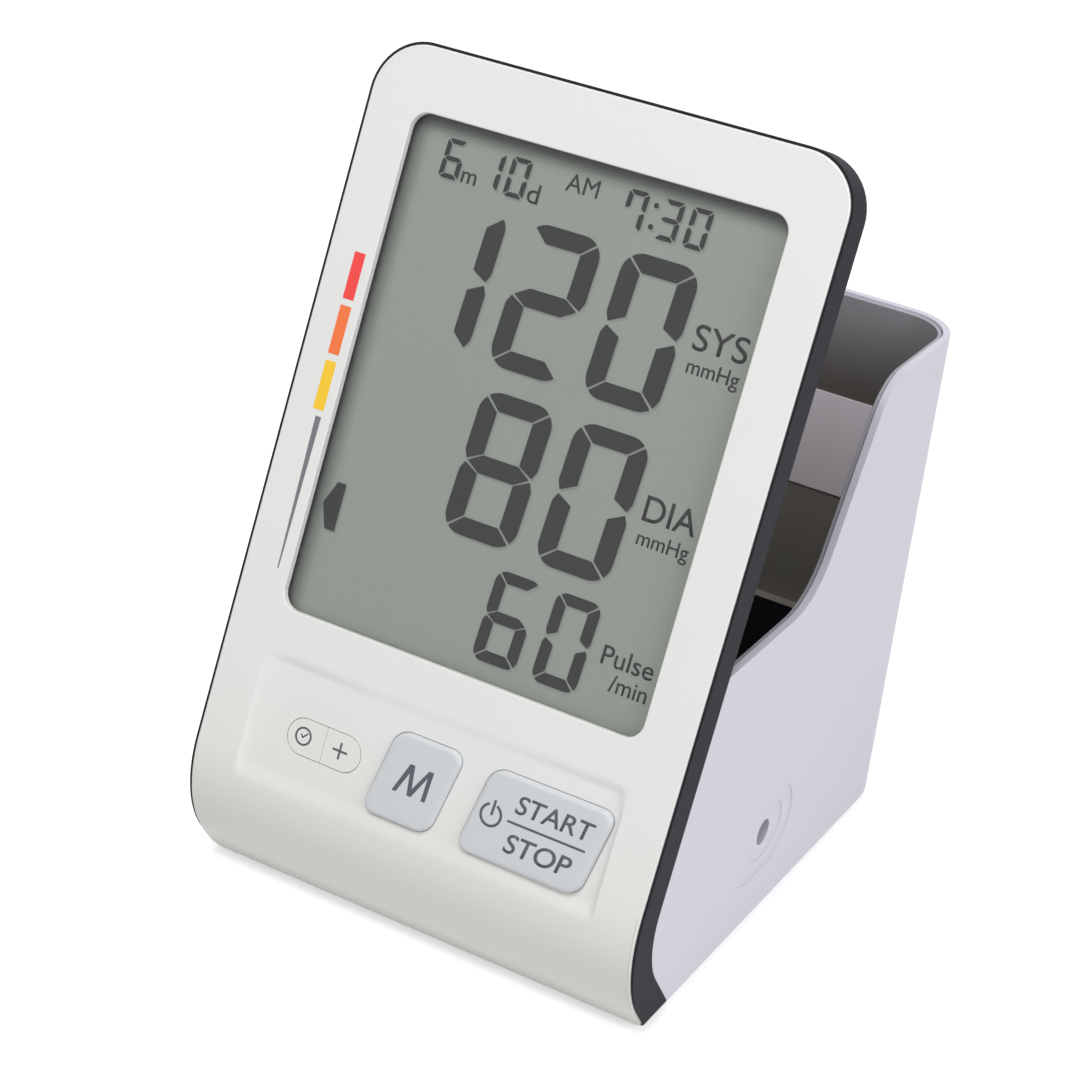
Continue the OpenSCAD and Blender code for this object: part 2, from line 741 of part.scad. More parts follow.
module rear_housing() {
    recess_w = 28;
    recess_h = 19;
    step_w = 16;
    step_h = 12.4;
    color([0.84, 0.83, 0.89]) placed() difference() {
        union() {
            intersection() {
                difference() {
                    bin_block();
                    translate([0, 0, -over]) linear_extrude(far) bin_plan(wall);
                }
                across(body_w + 2 * over) intersection() {
                    behind_front(trim_depth + seam);
                    under_rim(0);
                }
            }
            for (s = [-1, 1], y = base_boss_y) base_boss(s, y);
            translate([0, side_inlet_y, side_inlet_z])
                rod_x(half_w - wall - inlet_collar, half_w - wall / 2, power_r + 1.5);
        }
        for (s = [-1, 1], y = base_boss_y) translate([s * base_boss_x, y, base_t - over])
            cylinder(r = screw_pilot_r + 0.3, h = 10 + over);
        translate([-door_half_w - fit, box_rear, -over])
            cube([2 * (door_half_w + fit), far, over + rail_high + fit]);
        translate([half_w - recess_t, side_inlet_y - 1, side_inlet_z]) rotate([90, 0, 90])
            linear_extrude(over + recess_t) stadium(recess_w, recess_h);
        translate([half_w - 2 * recess_t, side_inlet_y + 0.5, side_inlet_z]) rotate([90, 0, 90])
            linear_extrude(over + 2 * recess_t) stadium(step_w, step_h);
        translate([0, side_inlet_y, side_inlet_z])
            rod_x(half_w - wall - inlet_collar - over, half_w + over, power_r);
        translate([0, side_inlet_y, side_inlet_z])
            rod_x(-half_w - over, -half_w + wall + over, inlet_r + 2 + slip);
    }
}

module storage_liner() {
    floor_low = bin_floor - liner_t;
    color([0.23, 0.22, 0.21]) placed() difference() {
        intersection() {
            translate([0, 0, floor_low]) linear_extrude(far) bin_plan(liner_inset);
            across(body_w) intersection() {
                behind_front(trim_depth + flange_t + fit);
                under_rim(liner_drop);
            }
        }
        translate([0, 0, bin_floor]) linear_extrude(far) bin_plan(liner_inner);
    }
}

module liner_mat() {
    color([0.05, 0.05, 0.06]) placed() intersection() {
        translate([0, 0, bin_floor]) linear_extrude(mat_t) bin_plan(liner_inner + mat_margin);
        across(body_w) behind_front(tray_n + fit);
    }
}

module label_strip() {
    thin = 0.25;
    color([0.72, 0.71, 0.72]) placed()
        translate([-strip_half_w, body_depth - liner_inner - thin, strip_z])
            cube([2 * strip_half_w, thin, strip_h]);
}

// Ribs and stands of the base plate that carry the parts in the base.
module base_stands() {
    top = manifold_z;
    translate([air_x - 4, manifold_y + 2, 0]) cube([8, manifold_size[1] - 4, top]);
    translate([valve_x + 2, valve_y - 2, 0]) cube([valve_len - 5, 4, valve_z - valve_r - seam]);
    translate([half_w - wall - inlet_collar - 11.5, side_inlet_y - 3.5, 0])
        cube([9, 7, side_inlet_z - 5.5 - seam]);
}

module base_plate() {
    color([0.8, 0.8, 0.83]) placed() difference() {
        union() {
            intersection() {
                linear_extrude(base_t) bin_plan(wall + 0.2);
                across(body_w) behind_front(trim_depth + fit);
            }
            base_stands();
            translate([-box_half_w - box_wall, box_front - box_wall, 0])
                cube([
                    2 * (box_half_w + box_wall),
                    box_rear - box_front + 2 * box_wall,
                    box_top + box_wall
                ]);
        }
        translate([-box_half_w, box_front, -over])
            cube([2 * box_half_w, box_rear - box_front, box_top + over]);
        translate([-door_half_w - 0.2, door_front - 0.2, rail_low])
            cube([2 * (door_half_w + 0.2), far, rail_high - rail_low]);
        translate([-box_half_w - 0.2, door_front - 0.2, -over])
            cube([2 * (box_half_w + 0.2), far, rail_low + 2 * over]);
        for (s = [-1, 1], y = foot_y) translate([s * foot_x, y, -over])
            cylinder(r = foot_r + slip, h = foot_sunk + over);
        for (s = [-1, 1], y = base_boss_y) translate([s * base_boss_x, y, -over]) {
            cylinder(r = 1.5, h = base_t + 2 * over);
            cylinder(r = 3, h = 1.3 + over);
        }
    }
}

module battery_cover() {
    grip_count = 5;
    rear = body_depth - 0.2;
    color([0.8, 0.8, 0.83]) placed() difference() {
        union() {
            translate([-box_half_w, door_front, 0.05])
                cube([2 * box_half_w, rear - door_front, rail_high - 0.2]);
            translate([-door_half_w, door_front, rail_low + 0.15])
                cube([2 * door_half_w, rear - door_front, rail_high - rail_low - 0.3]);
        }
        for (k = [1:grip_count])
            translate([-10, rear - 6 - 2.2 * k, -over]) cube([20, 1.1, over + 0.5]);
    }
}

// Repeats its children at each battery cell's place; every second cell is turned round.
module at_cells() {
    for (k = [0:cell_count - 1])
        translate([(k - (cell_count - 1) / 2) * cell_pitch, (box_front + box_rear) / 2, cell_z])
            rotate(k % 2 == 0 ? 0 : 180) translate([0, (spring_len - 1.2) / 2, 0]) children();
}

module battery_cells() {
    nub = 1;
    color([0.2, 0.42, 0.3]) placed() at_cells() rotate([90, 0, 0]) {
        translate([0, 0, -cell_len / 2 + nub]) cylinder(r = cell_d / 2, h = cell_len - nub);
        translate([0, 0, -cell_len / 2]) cylinder(r = 2.6, h = nub + 0.1);
    }
}

module contact_springs() {
    turns = 4;
    gap = (box_rear - box_front - cell_len) / 2 - (spring_len - 1.2) / 2;
    pitch = (gap + spring_len - 1.6 - 0.4) / turns;
    color([0.8, 0.8, 0.82]) placed() at_cells() translate([0, -cell_len / 2, 0]) rotate([90, 0, 0])
        for (k = [0:turns - 1]) translate([0, 0, spring_wire + k * pitch])
            rotate_extrude($fn = 32) translate([2.6 + 0.35 * k, 0]) circle(spring_wire, $fn = 16);
}

module contact_plates() {
    thin = 0.4;
    color([0.78, 0.78, 0.76]) placed() for (s = [0, 1], k = [0:cell_count - 1])
        translate([(k - (cell_count - 1) / 2) * cell_pitch - 5.5,
            s == 0 ? box_front + 0.05 : box_rear - thin - 0.05, base_t + 2])
            cube([11, thin, cell_d - 3]);
}

// Places children on the pump's axis.
module on_pump() {
    translate([0, pump_y, pump_z]) children();
}

module pump_motor() {
    boss_len = 2;
    color([0.72, 0.73, 0.75]) placed() on_pump() difference() {
        union() {
            rod_x(motor_x, motor_x + motor_len, motor_d / 2);
            rod_x(motor_x + motor_len, motor_x + motor_len + boss_len, 3.5);
        }
        rod_x(motor_x - over, motor_x + motor_len + boss_len + over, shaft_r + run_gap);
        for (a = [0, 180]) rotate([a, 0, 0]) translate([motor_x + motor_len - 0.8, -2, motor_d / 2 - 4])
            cube([2, 4, 1.6]);
    }
}

module pump_head() {
    color([0.16, 0.16, 0.18]) placed() on_pump() difference() {
        union() {
            rod_x(motor_x - pump_len, motor_x - 8, head_d / 2);
            rod_x(motor_x - 8, motor_x, motor_d / 2 + 0.8);
            translate([0, 0, pump_nozzle_z - pump_z])
                rod_x(motor_x - pump_len - nozzle_len, motor_x - pump_len, nozzle_r);
        }
        rod_x(motor_x - 7, motor_x + over, 8);
        translate([0, 0, pump_nozzle_z - pump_z])
            rod_x(motor_x - pump_len - nozzle_len - over, motor_x - pump_len + 3, nozzle_r - 0.6);
        for (a = [0:60:300]) rotate([a, 0, 0]) translate([0, 0, head_d / 2])
            rod_x(motor_x - pump_len - over, motor_x - 8 + over, 1);
    }
}

module motor_shaft() {
    color([0.85, 0.85, 0.86]) placed() on_pump() rod_x(motor_x - 6, motor_x + motor_len + 3, shaft_r);
}

module pump_cam() {
    color([0.9, 0.88, 0.8]) placed() on_pump() difference() {
        translate([0, 0.8, 0]) rod_x(motor_x - 5.5, motor_x - 1.5, 4.5);
        rod_x(motor_x - 6, motor_x, shaft_r + 0.01);
    }
}

module pump_bracket() {
    ring_w = motor_len / 5;
    ring_inset = motor_len / 6;
    ring_x = [motor_x + ring_inset, motor_x + motor_len - ring_inset - ring_w];
    half = motor_d / 2 + 3;
    color([0.75, 0.75, 0.78]) placed() on_pump() difference() {
        union() {
            for (x = ring_x) {
                rod_x(x, x + ring_w, motor_d / 2 + 2);
                translate([x, -half, base_t + seam - pump_z]) cube([ring_w, 2 * half, pump_z - base_t - 4]);
            }
            translate([ring_x[0], -half, base_t + seam - pump_z])
                cube([ring_x[1] - ring_x[0] + ring_w, 2 * half, 2]);
        }
        rod_x(ring_x[0] - over, ring_x[1] + ring_w + over, motor_d / 2 + slip);
    }
}

module valve_body() {
    color([0.55, 0.56, 0.6]) placed() translate([0, valve_y, valve_z]) difference() {
        union() {
            rod_x(valve_x, valve_x + valve_len, valve_r);
            rod_x(valve_x - 2, valve_x, nozzle_r);
            rod_x(valve_x + valve_len, valve_x + valve_len + 1, 3);
        }
        rod_x(valve_x + 4, valve_x + valve_len + 1 + over, plunger_r + run_gap + 0.02);
        rod_x(valve_x - 2 - over, valve_x + 5, nozzle_r - 0.6);
    }
}

module valve_plunger() {
    color([0.8, 0.8, 0.82]) placed() translate([0, valve_y, valve_z]) {
        rod_x(valve_x + 6, valve_x + valve_len + 3, plunger_r);
        rod_x(valve_x + valve_len + 2.6, valve_x + valve_len + 3.6, 2.6);
    }
}

module air_manifold() {
    w = manifold_size[0];
    d = manifold_size[1];
    h = manifold_size[2];
    color([0.85, 0.85, 0.82]) placed() difference() {
        union() {
            translate([air_x - w / 2, manifold_y, manifold_z + seam]) cube([w, d, h - seam]);
            translate([pump_line_x, manifold_y, pump_nozzle_z]) rotate([90, 0, 0])
                cylinder(r = nozzle_r, h = 4);
            on_sensor_line(sensor_reach - 4) cylinder(r = nozzle_r, h = 6);
            translate([0, valve_y, valve_z]) rod_x(air_x + w / 2, air_x + w / 2 + 2, nozzle_r);
        }
        translate([0, side_inlet_y, side_inlet_z])
            rod_x(air_x - w / 2 - over, air_x, nozzle_r + 0.6 + slip);
        translate([pump_line_x, manifold_y + 6, pump_nozzle_z]) rotate([90, 0, 0])
            cylinder(r = nozzle_r - 0.6, h = 10 + over);
        on_sensor_line(sensor_reach - 4 - over) cylinder(r = nozzle_r - 0.6, h = 10 + over);
        translate([0, valve_y, valve_z]) rod_x(air_x - 1.2, air_x + w / 2 + 2 + over, nozzle_r - 0.6);
        translate([air_x - 1.2, side_inlet_y, side_inlet_z]) rotate([90, 0, 0])
            cylinder(r = nozzle_r - 0.6, h = side_inlet_y - valve_y);
        translate([air_x - 1.2, valve_y, side_inlet_z])
            cylinder(r = nozzle_r - 0.6, h = valve_z - side_inlet_z);
    }
}

// A round bend in the XY plane, about the origin, from angle a0 over a turn.
module bend(path_r, r, a0, turn) {
    rotate(a0) rotate_extrude(angle = turn) translate([path_r, 0]) circle(r);
}

// The way of the tube from the pump's nozzle to the manifold, with its ends made longer.
module pump_way(r, longer) {
    start_x = motor_x - pump_len - 0.1;
    bend_x = pump_line_x + elbow_r;
    translate([0, pump_y, pump_nozzle_z]) rod_x(bend_x, start_x + longer, r);
    translate([bend_x, pump_y + elbow_r, pump_nozzle_z]) bend(elbow_r, r, 180, 90);
    translate([pump_line_x, pump_y + elbow_r, pump_nozzle_z]) rotate([-90, 0, 0])
        cylinder(r = r, h = manifold_y - 0.1 + longer - pump_y - elbow_r);
}

// Places children on the straight line from the sensor's port to the manifold, with +Z along it.
module on_sensor_line(distance) {
    on_head() translate([sensor_line_x, sensor_port_n + distance, sensor_v])
        rotate([-90, 0, 0]) children();
}

// The way of the tube from the sensor on the board to the manifold, its ends made longer.
module sensor_way(r, longer) {
    slack = tube_r * tan(head_lean) + 0.1;
    on_sensor_line(0.1 - longer) cylinder(r = r, h = sensor_reach - slack - 0.1 + 2 * longer);
}

// The way of the short tube from the manifold to the valve, its ends made longer.
module valve_way(r, longer) {
    translate([0, valve_y, valve_z])
        rod_x(air_x + manifold_size[0] / 2 + 0.1 - longer, valve_x - 0.1 + longer, r);
}

module air_tubes() {
    bore_r = nozzle_r + 0.05;
    color([0.75, 0.77, 0.78]) placed() {
        difference() {
            pump_way(tube_r, 0);
            pump_way(bore_r, over);
        }
        difference() {
            sensor_way(tube_r, 0);
            sensor_way(bore_r, over);
        }
        difference() {
            valve_way(tube_r, 0);
            valve_way(bore_r, over);
        }
    }
}

module air_socket() {
    tail_x = air_x - 3;
    wall_x = -half_w + wall;
    color([0.5, 0.5, 0.53]) placed() translate([0, side_inlet_y, side_inlet_z]) difference() {
        union() {
            rod_x(-half_w, wall_x + 5, inlet_r + 2);
            rod_x(wall_x + seam, wall_x + 1.6, inlet_r + 3.4);
            rod_x(wall_x, tail_x, nozzle_r + 0.6);
        }
        rod_x(-half_w - over, wall_x + 4, inlet_r);
        rod_x(-half_w, tail_x + over, nozzle_r - 0.4);
    }
}

module dc_jack() {
    face_x = half_w - wall - inlet_collar - seam;
    size = [13, 9, 11];
    color([0.08, 0.08, 0.09]) placed() translate([0, side_inlet_y, side_inlet_z]) difference() {
        translate([face_x - size[0], -size[1] / 2, -size[2] / 2]) cube(size);
        rod_x(face_x - size[0] + 3, face_x + over, power_r - 0.2);
        rod_x(face_x - size[0] - over, face_x, 0.9);
    }
}

module jack_pin() {
    face_x = half_w - wall - inlet_collar - seam;
    color([0.85, 0.85, 0.8]) placed() translate([0, side_inlet_y, side_inlet_z])
        rod_x(face_x - 14, face_x - 2.5, 0.85);
}

module rubber_feet() {
    color([0.2, 0.2, 0.21]) placed() for (s = [-1, 1], y = foot_y)
        translate([s * foot_x, y, -foot_proud]) {
            cylinder(r1 = foot_r - 0.3, r2 = foot_r, h = 0.3);
            translate([0, 0, 0.3]) cylinder(r = foot_r, h = foot_proud + foot_sunk - 0.3);
        }
}

module base_screws() {
    color([0.7, 0.7, 0.72]) placed() for (s = [-1, 1], y = base_boss_y)
        translate([s * base_boss_x, y, 1.3]) screw(screw_pilot_r + 0.2, base_t + 6, 2.6, 1);
}

module head_screws() {
    color([0.7, 0.7, 0.72]) placed() on_head() for (s = [-1, 1], v = head_screw_v)
        translate([s * trim_boss_u, trim_depth + flange_t, v]) rotate([90, 0, 0])
            screw(screw_pilot_r - 0.05, flange_t + 3.2, 1.9, 1);
}

module board_screws() {
    color([0.7, 0.7, 0.72]) placed() on_head() for (s = [-1, 1], v = board_boss_v)
        translate([s * board_boss_u, board_n + board_t, v]) rotate([90, 0, 0])
            screw(screw_pilot_r - 0.05, board_t + 2.2, 1.7, 0.9);
}

front_cover();
trim_frame();
display_back();
display_lens();
lcd_cell();
lcd_holder();
zebra_strips();
main_board();
board_chips();
pressure_sensor();
buzzer();
key_contacts();
start_stop_button();
memory_button();
clock_key();
plus_key();
rear_housing();
storage_liner();
liner_mat();
label_strip();
base_plate();
battery_cover();
battery_cells();
contact_springs();
contact_plates();
pump_motor();
pump_head();
motor_shaft();
pump_cam();
pump_bracket();
valve_body();
valve_plunger();
air_manifold();
air_tubes();
air_socket();
dc_jack();
jack_pin();
rubber_feet();
base_screws();
head_screws();
board_screws();
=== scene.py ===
"""Desktop blood pressure monitor: rounded shells, keys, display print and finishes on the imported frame."""

import logging
import math
from collections.abc import Callable
from dataclasses import dataclass
from enum import Enum

import bmesh
import bpy
from mathutils import Matrix, Vector


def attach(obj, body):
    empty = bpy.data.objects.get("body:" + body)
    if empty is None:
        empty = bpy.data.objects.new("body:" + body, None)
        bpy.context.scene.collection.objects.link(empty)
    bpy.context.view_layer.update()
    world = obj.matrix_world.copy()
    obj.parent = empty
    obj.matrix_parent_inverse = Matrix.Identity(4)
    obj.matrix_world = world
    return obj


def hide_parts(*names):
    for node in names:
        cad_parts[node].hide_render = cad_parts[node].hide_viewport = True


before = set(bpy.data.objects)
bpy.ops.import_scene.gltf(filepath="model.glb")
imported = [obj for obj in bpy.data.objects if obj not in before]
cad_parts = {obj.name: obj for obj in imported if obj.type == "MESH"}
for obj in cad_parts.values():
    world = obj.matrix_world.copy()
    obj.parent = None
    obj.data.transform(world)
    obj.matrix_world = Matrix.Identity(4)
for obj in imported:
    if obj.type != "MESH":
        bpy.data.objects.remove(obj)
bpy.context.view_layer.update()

LOG = logging.getLogger("monitor")
MM = 0.001
BODY = "monitor"
# Angles in degrees: faces that lie flatter are one face, and edges that are sharper get rounded.
FLAT_WITHIN = 0.4
SHARP_FROM = 25.0
# Points nearer than this are one point: in a CAD copy (metres), in a drawing and in a letter (millimetres).
CAD_SEAM, DRAWING_SEAM, LETTER_SEAM = 1e-6, 1e-5, 1e-4
# How far a height may be off and still count as a key's front face, in millimetres.
NEAR = 0.01
# A face whose normal points out of the head by at least this share is a top face.
OUTWARD = 0.999

Point = tuple[float, float]
Colour = tuple[float, float, float]


# ---------------------------------------------------------------- places


@dataclass(frozen=True)
class Head:
    """The leaning head's own axes, in millimetres: across, up the slope, and out of the front face."""

    lean: float = math.radians(20.4)
    shift_y: float = -74.821
    rise: float = 0.8
    key_top: float = 0.5
    chin_start: float = 33.77
    chin_radius: float = 26.0

    def matrix(self, across: float = 0.0, up: float = 0.0, out: float = 0.0) -> Matrix:
        """Gives the matrix that puts a drawing in millimetres on the head.

        Args:
            across: Place of the drawing's origin across the head.
            up: Its place up the slope.
            out: Its height above the front face.

        Returns:
            The matrix from the drawing to the part's frame, in metres.
        """
        sine, cosine = math.sin(self.lean), math.cos(self.lean)
        turn = Matrix(((1, 0, 0, 0), (0, sine, -cosine, 0), (0, cosine, sine, 0), (0, 0, 0, 1)))
        home = Matrix.Translation(Vector((0.0, self.shift_y, self.rise)) * MM)
        return home @ turn @ Matrix.Scale(MM, 4) @ Matrix.Translation((across, up, out))

    def front(self, up: float) -> float:
        """Gives the height of the front face, which rolls away at the chin."""
        if up >= self.chin_start:
            return 0.0
        return math.sqrt(self.chin_radius ** 2 - (self.chin_start - up) ** 2) - self.chin_radius

    def place(self, point: Vector) -> Vector:
        """Gives a point of the part's frame in the head's own axes, in millimetres."""
        return self.matrix().inverted() @ point


HEAD = Head()


# ---------------------------------------------------------------- shaping


def alone(piece: bpy.types.Object) -> None:
    """Selects one piece and nothing else, and makes it the active one.

    Args:
        piece: The piece to work on.
    """
    bpy.ops.object.select_all(action="DESELECT")
    piece.hide_set(False)
    piece.select_set(True)
    bpy.context.view_layer.objects.active = piece


def settle(piece: bpy.types.Object, matrix: Matrix) -> None:
    """Moves a piece by a matrix and applies it, so that its object stays at the origin.

    Args:
        piece: The piece to move.
        matrix: The move.
    """
    piece.matrix_world = matrix @ piece.matrix_world
    bpy.context.view_layer.update()
    alone(piece)
    bpy.ops.object.transform_apply(location=True, rotation=True, scale=True)


def clean_solid(piece: bpy.types.Object) -> None:
    """Joins a new solid's double points and turns its faces outwards.

    Args:
        piece: The new solid.
    """
    alone(piece)
    bpy.ops.object.mode_set(mode="EDIT")
    bpy.ops.mesh.select_all(action="SELECT")
    bpy.ops.mesh.remove_doubles(threshold=DRAWING_SEAM)
    bpy.ops.mesh.normals_make_consistent(inside=False)
    bpy.ops.object.mode_set(mode="OBJECT")


EdgeTest = Callable[[Vector, Vector], bool]


def round_edges(piece: bpy.types.Object, angles: Point, width: float, segments: int, wanted: EdgeTest,
                clamp: bool = True) -> None:
    """Rounds the edges whose faces meet at an angle between two limits and whose ends pass a test.

    Args:
        piece: The piece to shape.
        angles: Smallest and largest angle between the faces, in degrees.
        width: Width of the rounding, in the piece's own unit.
        segments: How many faces it gets.
        wanted: The test of an edge's two ends.
        clamp: Whether the rounding stops where it meets another.
    """
    alone(piece)
    bpy.ops.object.mode_set(mode="EDIT")
    bpy.ops.mesh.select_mode(type="EDGE")
    bpy.ops.mesh.select_all(action="DESELECT")
    mesh = bmesh.from_edit_mesh(piece.data)
    for edge in mesh.edges:
        if len(edge.link_faces) == 2 and angles[0] <= math.degrees(edge.calc_face_angle(0.0)) <= angles[1]:
            edge.select = wanted(edge.verts[0].co, edge.verts[1].co)
    bmesh.update_edit_mesh(piece.data)
    bpy.ops.mesh.bevel(offset=width, segments=segments, profile=0.5, affect="EDGES", clamp_overlap=clamp)
    bpy.ops.object.mode_set(mode="OBJECT")


def smooth(piece: bpy.types.Object, angle: float = 30.0) -> None:
    """Shades a piece smooth up to an angle, with flat faces kept flat.

    Args:
        piece: The piece to shade.
        angle: Edges sharper than this stay sharp, in degrees.
    """
    alone(piece)
    bpy.ops.object.shade_smooth_by_angle(angle=math.radians(angle))
    bpy.ops.object.modifier_add(type="WEIGHTED_NORMAL")
    piece.modifiers[-1].mode = "FACE_AREA"
    piece.modifiers[-1].weight = 100
    piece.modifiers[-1].keep_sharp = True
    bpy.ops.object.modifier_apply(modifier=piece.modifiers[-1].name)


def whole_copy(node: str, name: str) -> bpy.types.Object:
    """Copies a CAD node and joins its triangles into whole faces.

    Args:
        node: Name of the CAD node.
        name: Name of the new piece.

    Returns:
        The new piece, in the node's place.
    """
    piece = bpy.data.objects.new(name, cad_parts[node].data.copy())
    bpy.context.scene.collection.objects.link(piece)
    piece.data.name = name
    piece.data.materials.clear()
    alone(piece)
    bpy.ops.object.mode_set(mode="EDIT")
    bpy.ops.mesh.select_all(action="SELECT")
    bpy.ops.mesh.remove_doubles(threshold=CAD_SEAM)
    bpy.ops.mesh.dissolve_limited(angle_limit=math.radians(FLAT_WITHIN))
    bpy.ops.object.mode_set(mode="OBJECT")
    return piece


def soften(piece: bpy.types.Object, width: float, segments: int) -> None:
    """Rounds all sharp edges of a piece.

    Args:
        piece: The piece to shape.
        width: Width of the rounding, in millimetres.
        segments: How many faces the rounding gets.
    """
    alone(piece)
    bpy.ops.object.modifier_add(type="BEVEL")
    bevel = piece.modifiers[-1]
    bevel.width = width * MM
    bevel.segments = segments
    bevel.limit_method = "ANGLE"
    bevel.angle_limit = math.radians(SHARP_FROM)
    bpy.ops.object.modifier_apply(modifier=bevel.name)


def flat_drawing(name: str, outlines: list[list[Point]], thickness: float) -> bpy.types.Object:
    """Makes a thin solid from closed outlines; one inside another is a hole.

    Args:
        name: Name of the new piece.
        outlines: Closed outlines in millimetres.
        thickness: Its thickness, half of it on each side of the drawing's plane.

    Returns:
        A mesh piece in millimetres, about the origin.
    """
    curve = bpy.data.curves.new(name, "CURVE")
    curve.dimensions = "2D"
    curve.fill_mode = "BOTH"
    curve.extrude = thickness / 2
    for outline in outlines:
        spline = curve.splines.new("POLY")
        spline.points.add(len(outline) - 1)
        for place, point in zip(spline.points, outline):
            place.co = (point[0], point[1], 0.0, 1.0)
        spline.use_cyclic_u = True
    piece = bpy.data.objects.new(name, curve)
    bpy.context.scene.collection.objects.link(piece)
    alone(piece)
    bpy.ops.object.convert(target="MESH")
    clean_solid(piece)
    return piece


def lettering(name: str, text: str, box: tuple[float, float, float, float], thickness: float,
              shear: float = 0.0, weight: float = 0.0) -> bpy.types.Object:
    """Makes a thin solid word that fills a box.

    Args:
        name: Name of the new piece.
        text: The word.
        box: Left, low, right and high edge, in millimetres.
        thickness: Its thickness, half of it on each side of the drawing's plane.
        shear: How far it slants.
        weight: How much its strokes are widened, as a share of its size.

    Returns:
        A mesh piece in millimetres.
    """
    bpy.ops.object.select_all(action="DESELECT")
    bpy.ops.object.text_add(location=(0, 0, 0))
    piece = bpy.context.object
    piece.name = name
    piece.data.body = text
    piece.data.shear = shear
    piece.data.offset = weight
    alone(piece)
    bpy.ops.object.convert(target="MESH")
    low = [min(v.co[k] for v in piece.data.vertices) for k in (0, 1)]
    high = [max(v.co[k] for v in piece.data.vertices) for k in (0, 1)]
    scale = [(box[2 + k] - box[k]) / (high[k] - low[k]) for k in (0, 1)]
    for vertex in piece.data.vertices:
        for k in (0, 1):
            vertex.co[k] = box[k] + (vertex.co[k] - low[k]) * scale[k]
    bpy.ops.object.mode_set(mode="EDIT")
    bpy.ops.mesh.select_all(action="SELECT")
    bpy.ops.mesh.remove_doubles(threshold=LETTER_SEAM)
    bpy.ops.transform.translate(value=(0, 0, -thickness / 2))
    bpy.ops.mesh.select_all(action="SELECT")
    bpy.ops.mesh.extrude_region_move(TRANSFORM_OT_translate={"value": (0, 0, thickness)})
    bpy.ops.object.mode_set(mode="OBJECT")
    clean_solid(piece)
    return piece


def arc_points(centre: Point, radius: float, start: float, end: float, steps: int) -> list[Point]:
    """Gives points along an arc, from one angle to another in degrees."""
    angles = [math.radians(start + (end - start) * k / steps) for k in range(steps + 1)]
    return [(centre[0] + radius * math.cos(a), centre[1] + radius * math.sin(a)) for a in angles]


def ring_stroke(centre: Point, radius: float, stroke: float, start: float, end: float) -> list[Point]:
    """Gives the outline of an open arc drawn with a pen of some width.

    Args:
        centre: Middle of the arc.
        radius: Its radius.
        stroke: Width of the pen.
        start: Its first angle, in degrees.
        end: Its last angle.

    Returns:
        The closed outline, with round ends.
    """
    outer = arc_points(centre, radius + stroke / 2, start, end, 40)
    inner = arc_points(centre, radius - stroke / 2, end, start, 40)
    first = arc_points(centre, radius, start, start, 1)[0]
    last = arc_points(centre, radius, end, end, 1)[0]
    tip = arc_points(last, stroke / 2, end, end + 180, 6)
    tail = arc_points(first, stroke / 2, start + 180, start + 360, 6)
    return outer + tip[1:-1] + inner + tail[1:-1]


def pen_line(start: Point, end: Point, stroke: float) -> list[Point]:
    """Gives the outline of a straight line with round ends, drawn with a pen of some width."""
    angle = math.degrees(math.atan2(end[1] - start[1], end[0] - start[0]))
    return (arc_points(end, stroke / 2, angle - 90, angle + 90, 8)
            + arc_points(start, stroke / 2, angle + 90, angle + 270, 8))


# ---------------------------------------------------------------- finishes


def fill(node: bpy.types.Node, values: dict[str | int, object]) -> None:
    """Sets the values of a node's inputs."""
    for socket, value in values.items():
        node.inputs[socket].default_value = value


def add_node(tree: bpy.types.NodeTree, kind: str, values: dict[str | int, object] | None = None,
             **settings: object) -> bpy.types.Node:
    """Adds a shader node.

    Args:
        tree: The material or node group that gets it.
        kind: Its type, without the first word ShaderNode.
        values: Values of its inputs.
        **settings: Values of its properties, set before the inputs.

    Returns:
        The node.
    """
    node = tree.nodes.new("ShaderNode" + kind)
    for name, value in settings.items():
        setattr(node, name, value)
    fill(node, values or {})
    return node


def join(tree: bpy.types.NodeTree, *links: tuple[bpy.types.NodeSocket, bpy.types.NodeSocket]) -> None:
    """Links outputs to inputs, pair by pair."""
    for output, entry in links:
        tree.links.new(output, entry)


def mix(tree: bpy.types.NodeTree, factor: bpy.types.NodeSocket, first: Colour | bpy.types.NodeSocket,
        second: Colour) -> bpy.types.NodeSocket:
    """Mixes two colours.

    Args:
        tree: The material.
        factor: Share of the second colour.
        first: The first colour, as a value or from another node.
        second: The second colour.

    Returns:
        The mixed colour.
    """
    node = add_node(tree, "Mix", data_type="RGBA")
    node.inputs["B"].default_value = (*second, 1.0)
    if isinstance(first, tuple):
        node.inputs["A"].default_value = (*first, 1.0)
    else:
        join(tree, (first, node.inputs["A"]))
    join(tree, (factor, node.inputs["Factor"]))
    return node.outputs["Result"]


def any_ray(tree: bpy.types.NodeTree, *kinds: str) -> bpy.types.NodeSocket:
    """Gives 1 for rays of the named kinds and 0 for all others.

    Args:
        tree: The material or world.
        *kinds: Names of the kinds, as the Light Path node has them.

    Returns:
        The mask.
    """
    rays = add_node(tree, "LightPath")
    found = rays.outputs[kinds[0]]
    for kind in kinds[1:]:
        either = add_node(tree, "Math", operation="MAXIMUM")
        join(tree, (found, either.inputs[0]), (rays.outputs[kind], either.inputs[1]))
        found = either.outputs["Value"]
    return found


SEEN = ("Is Camera Ray", "Is Glossy Ray", "Is Transmission Ray")


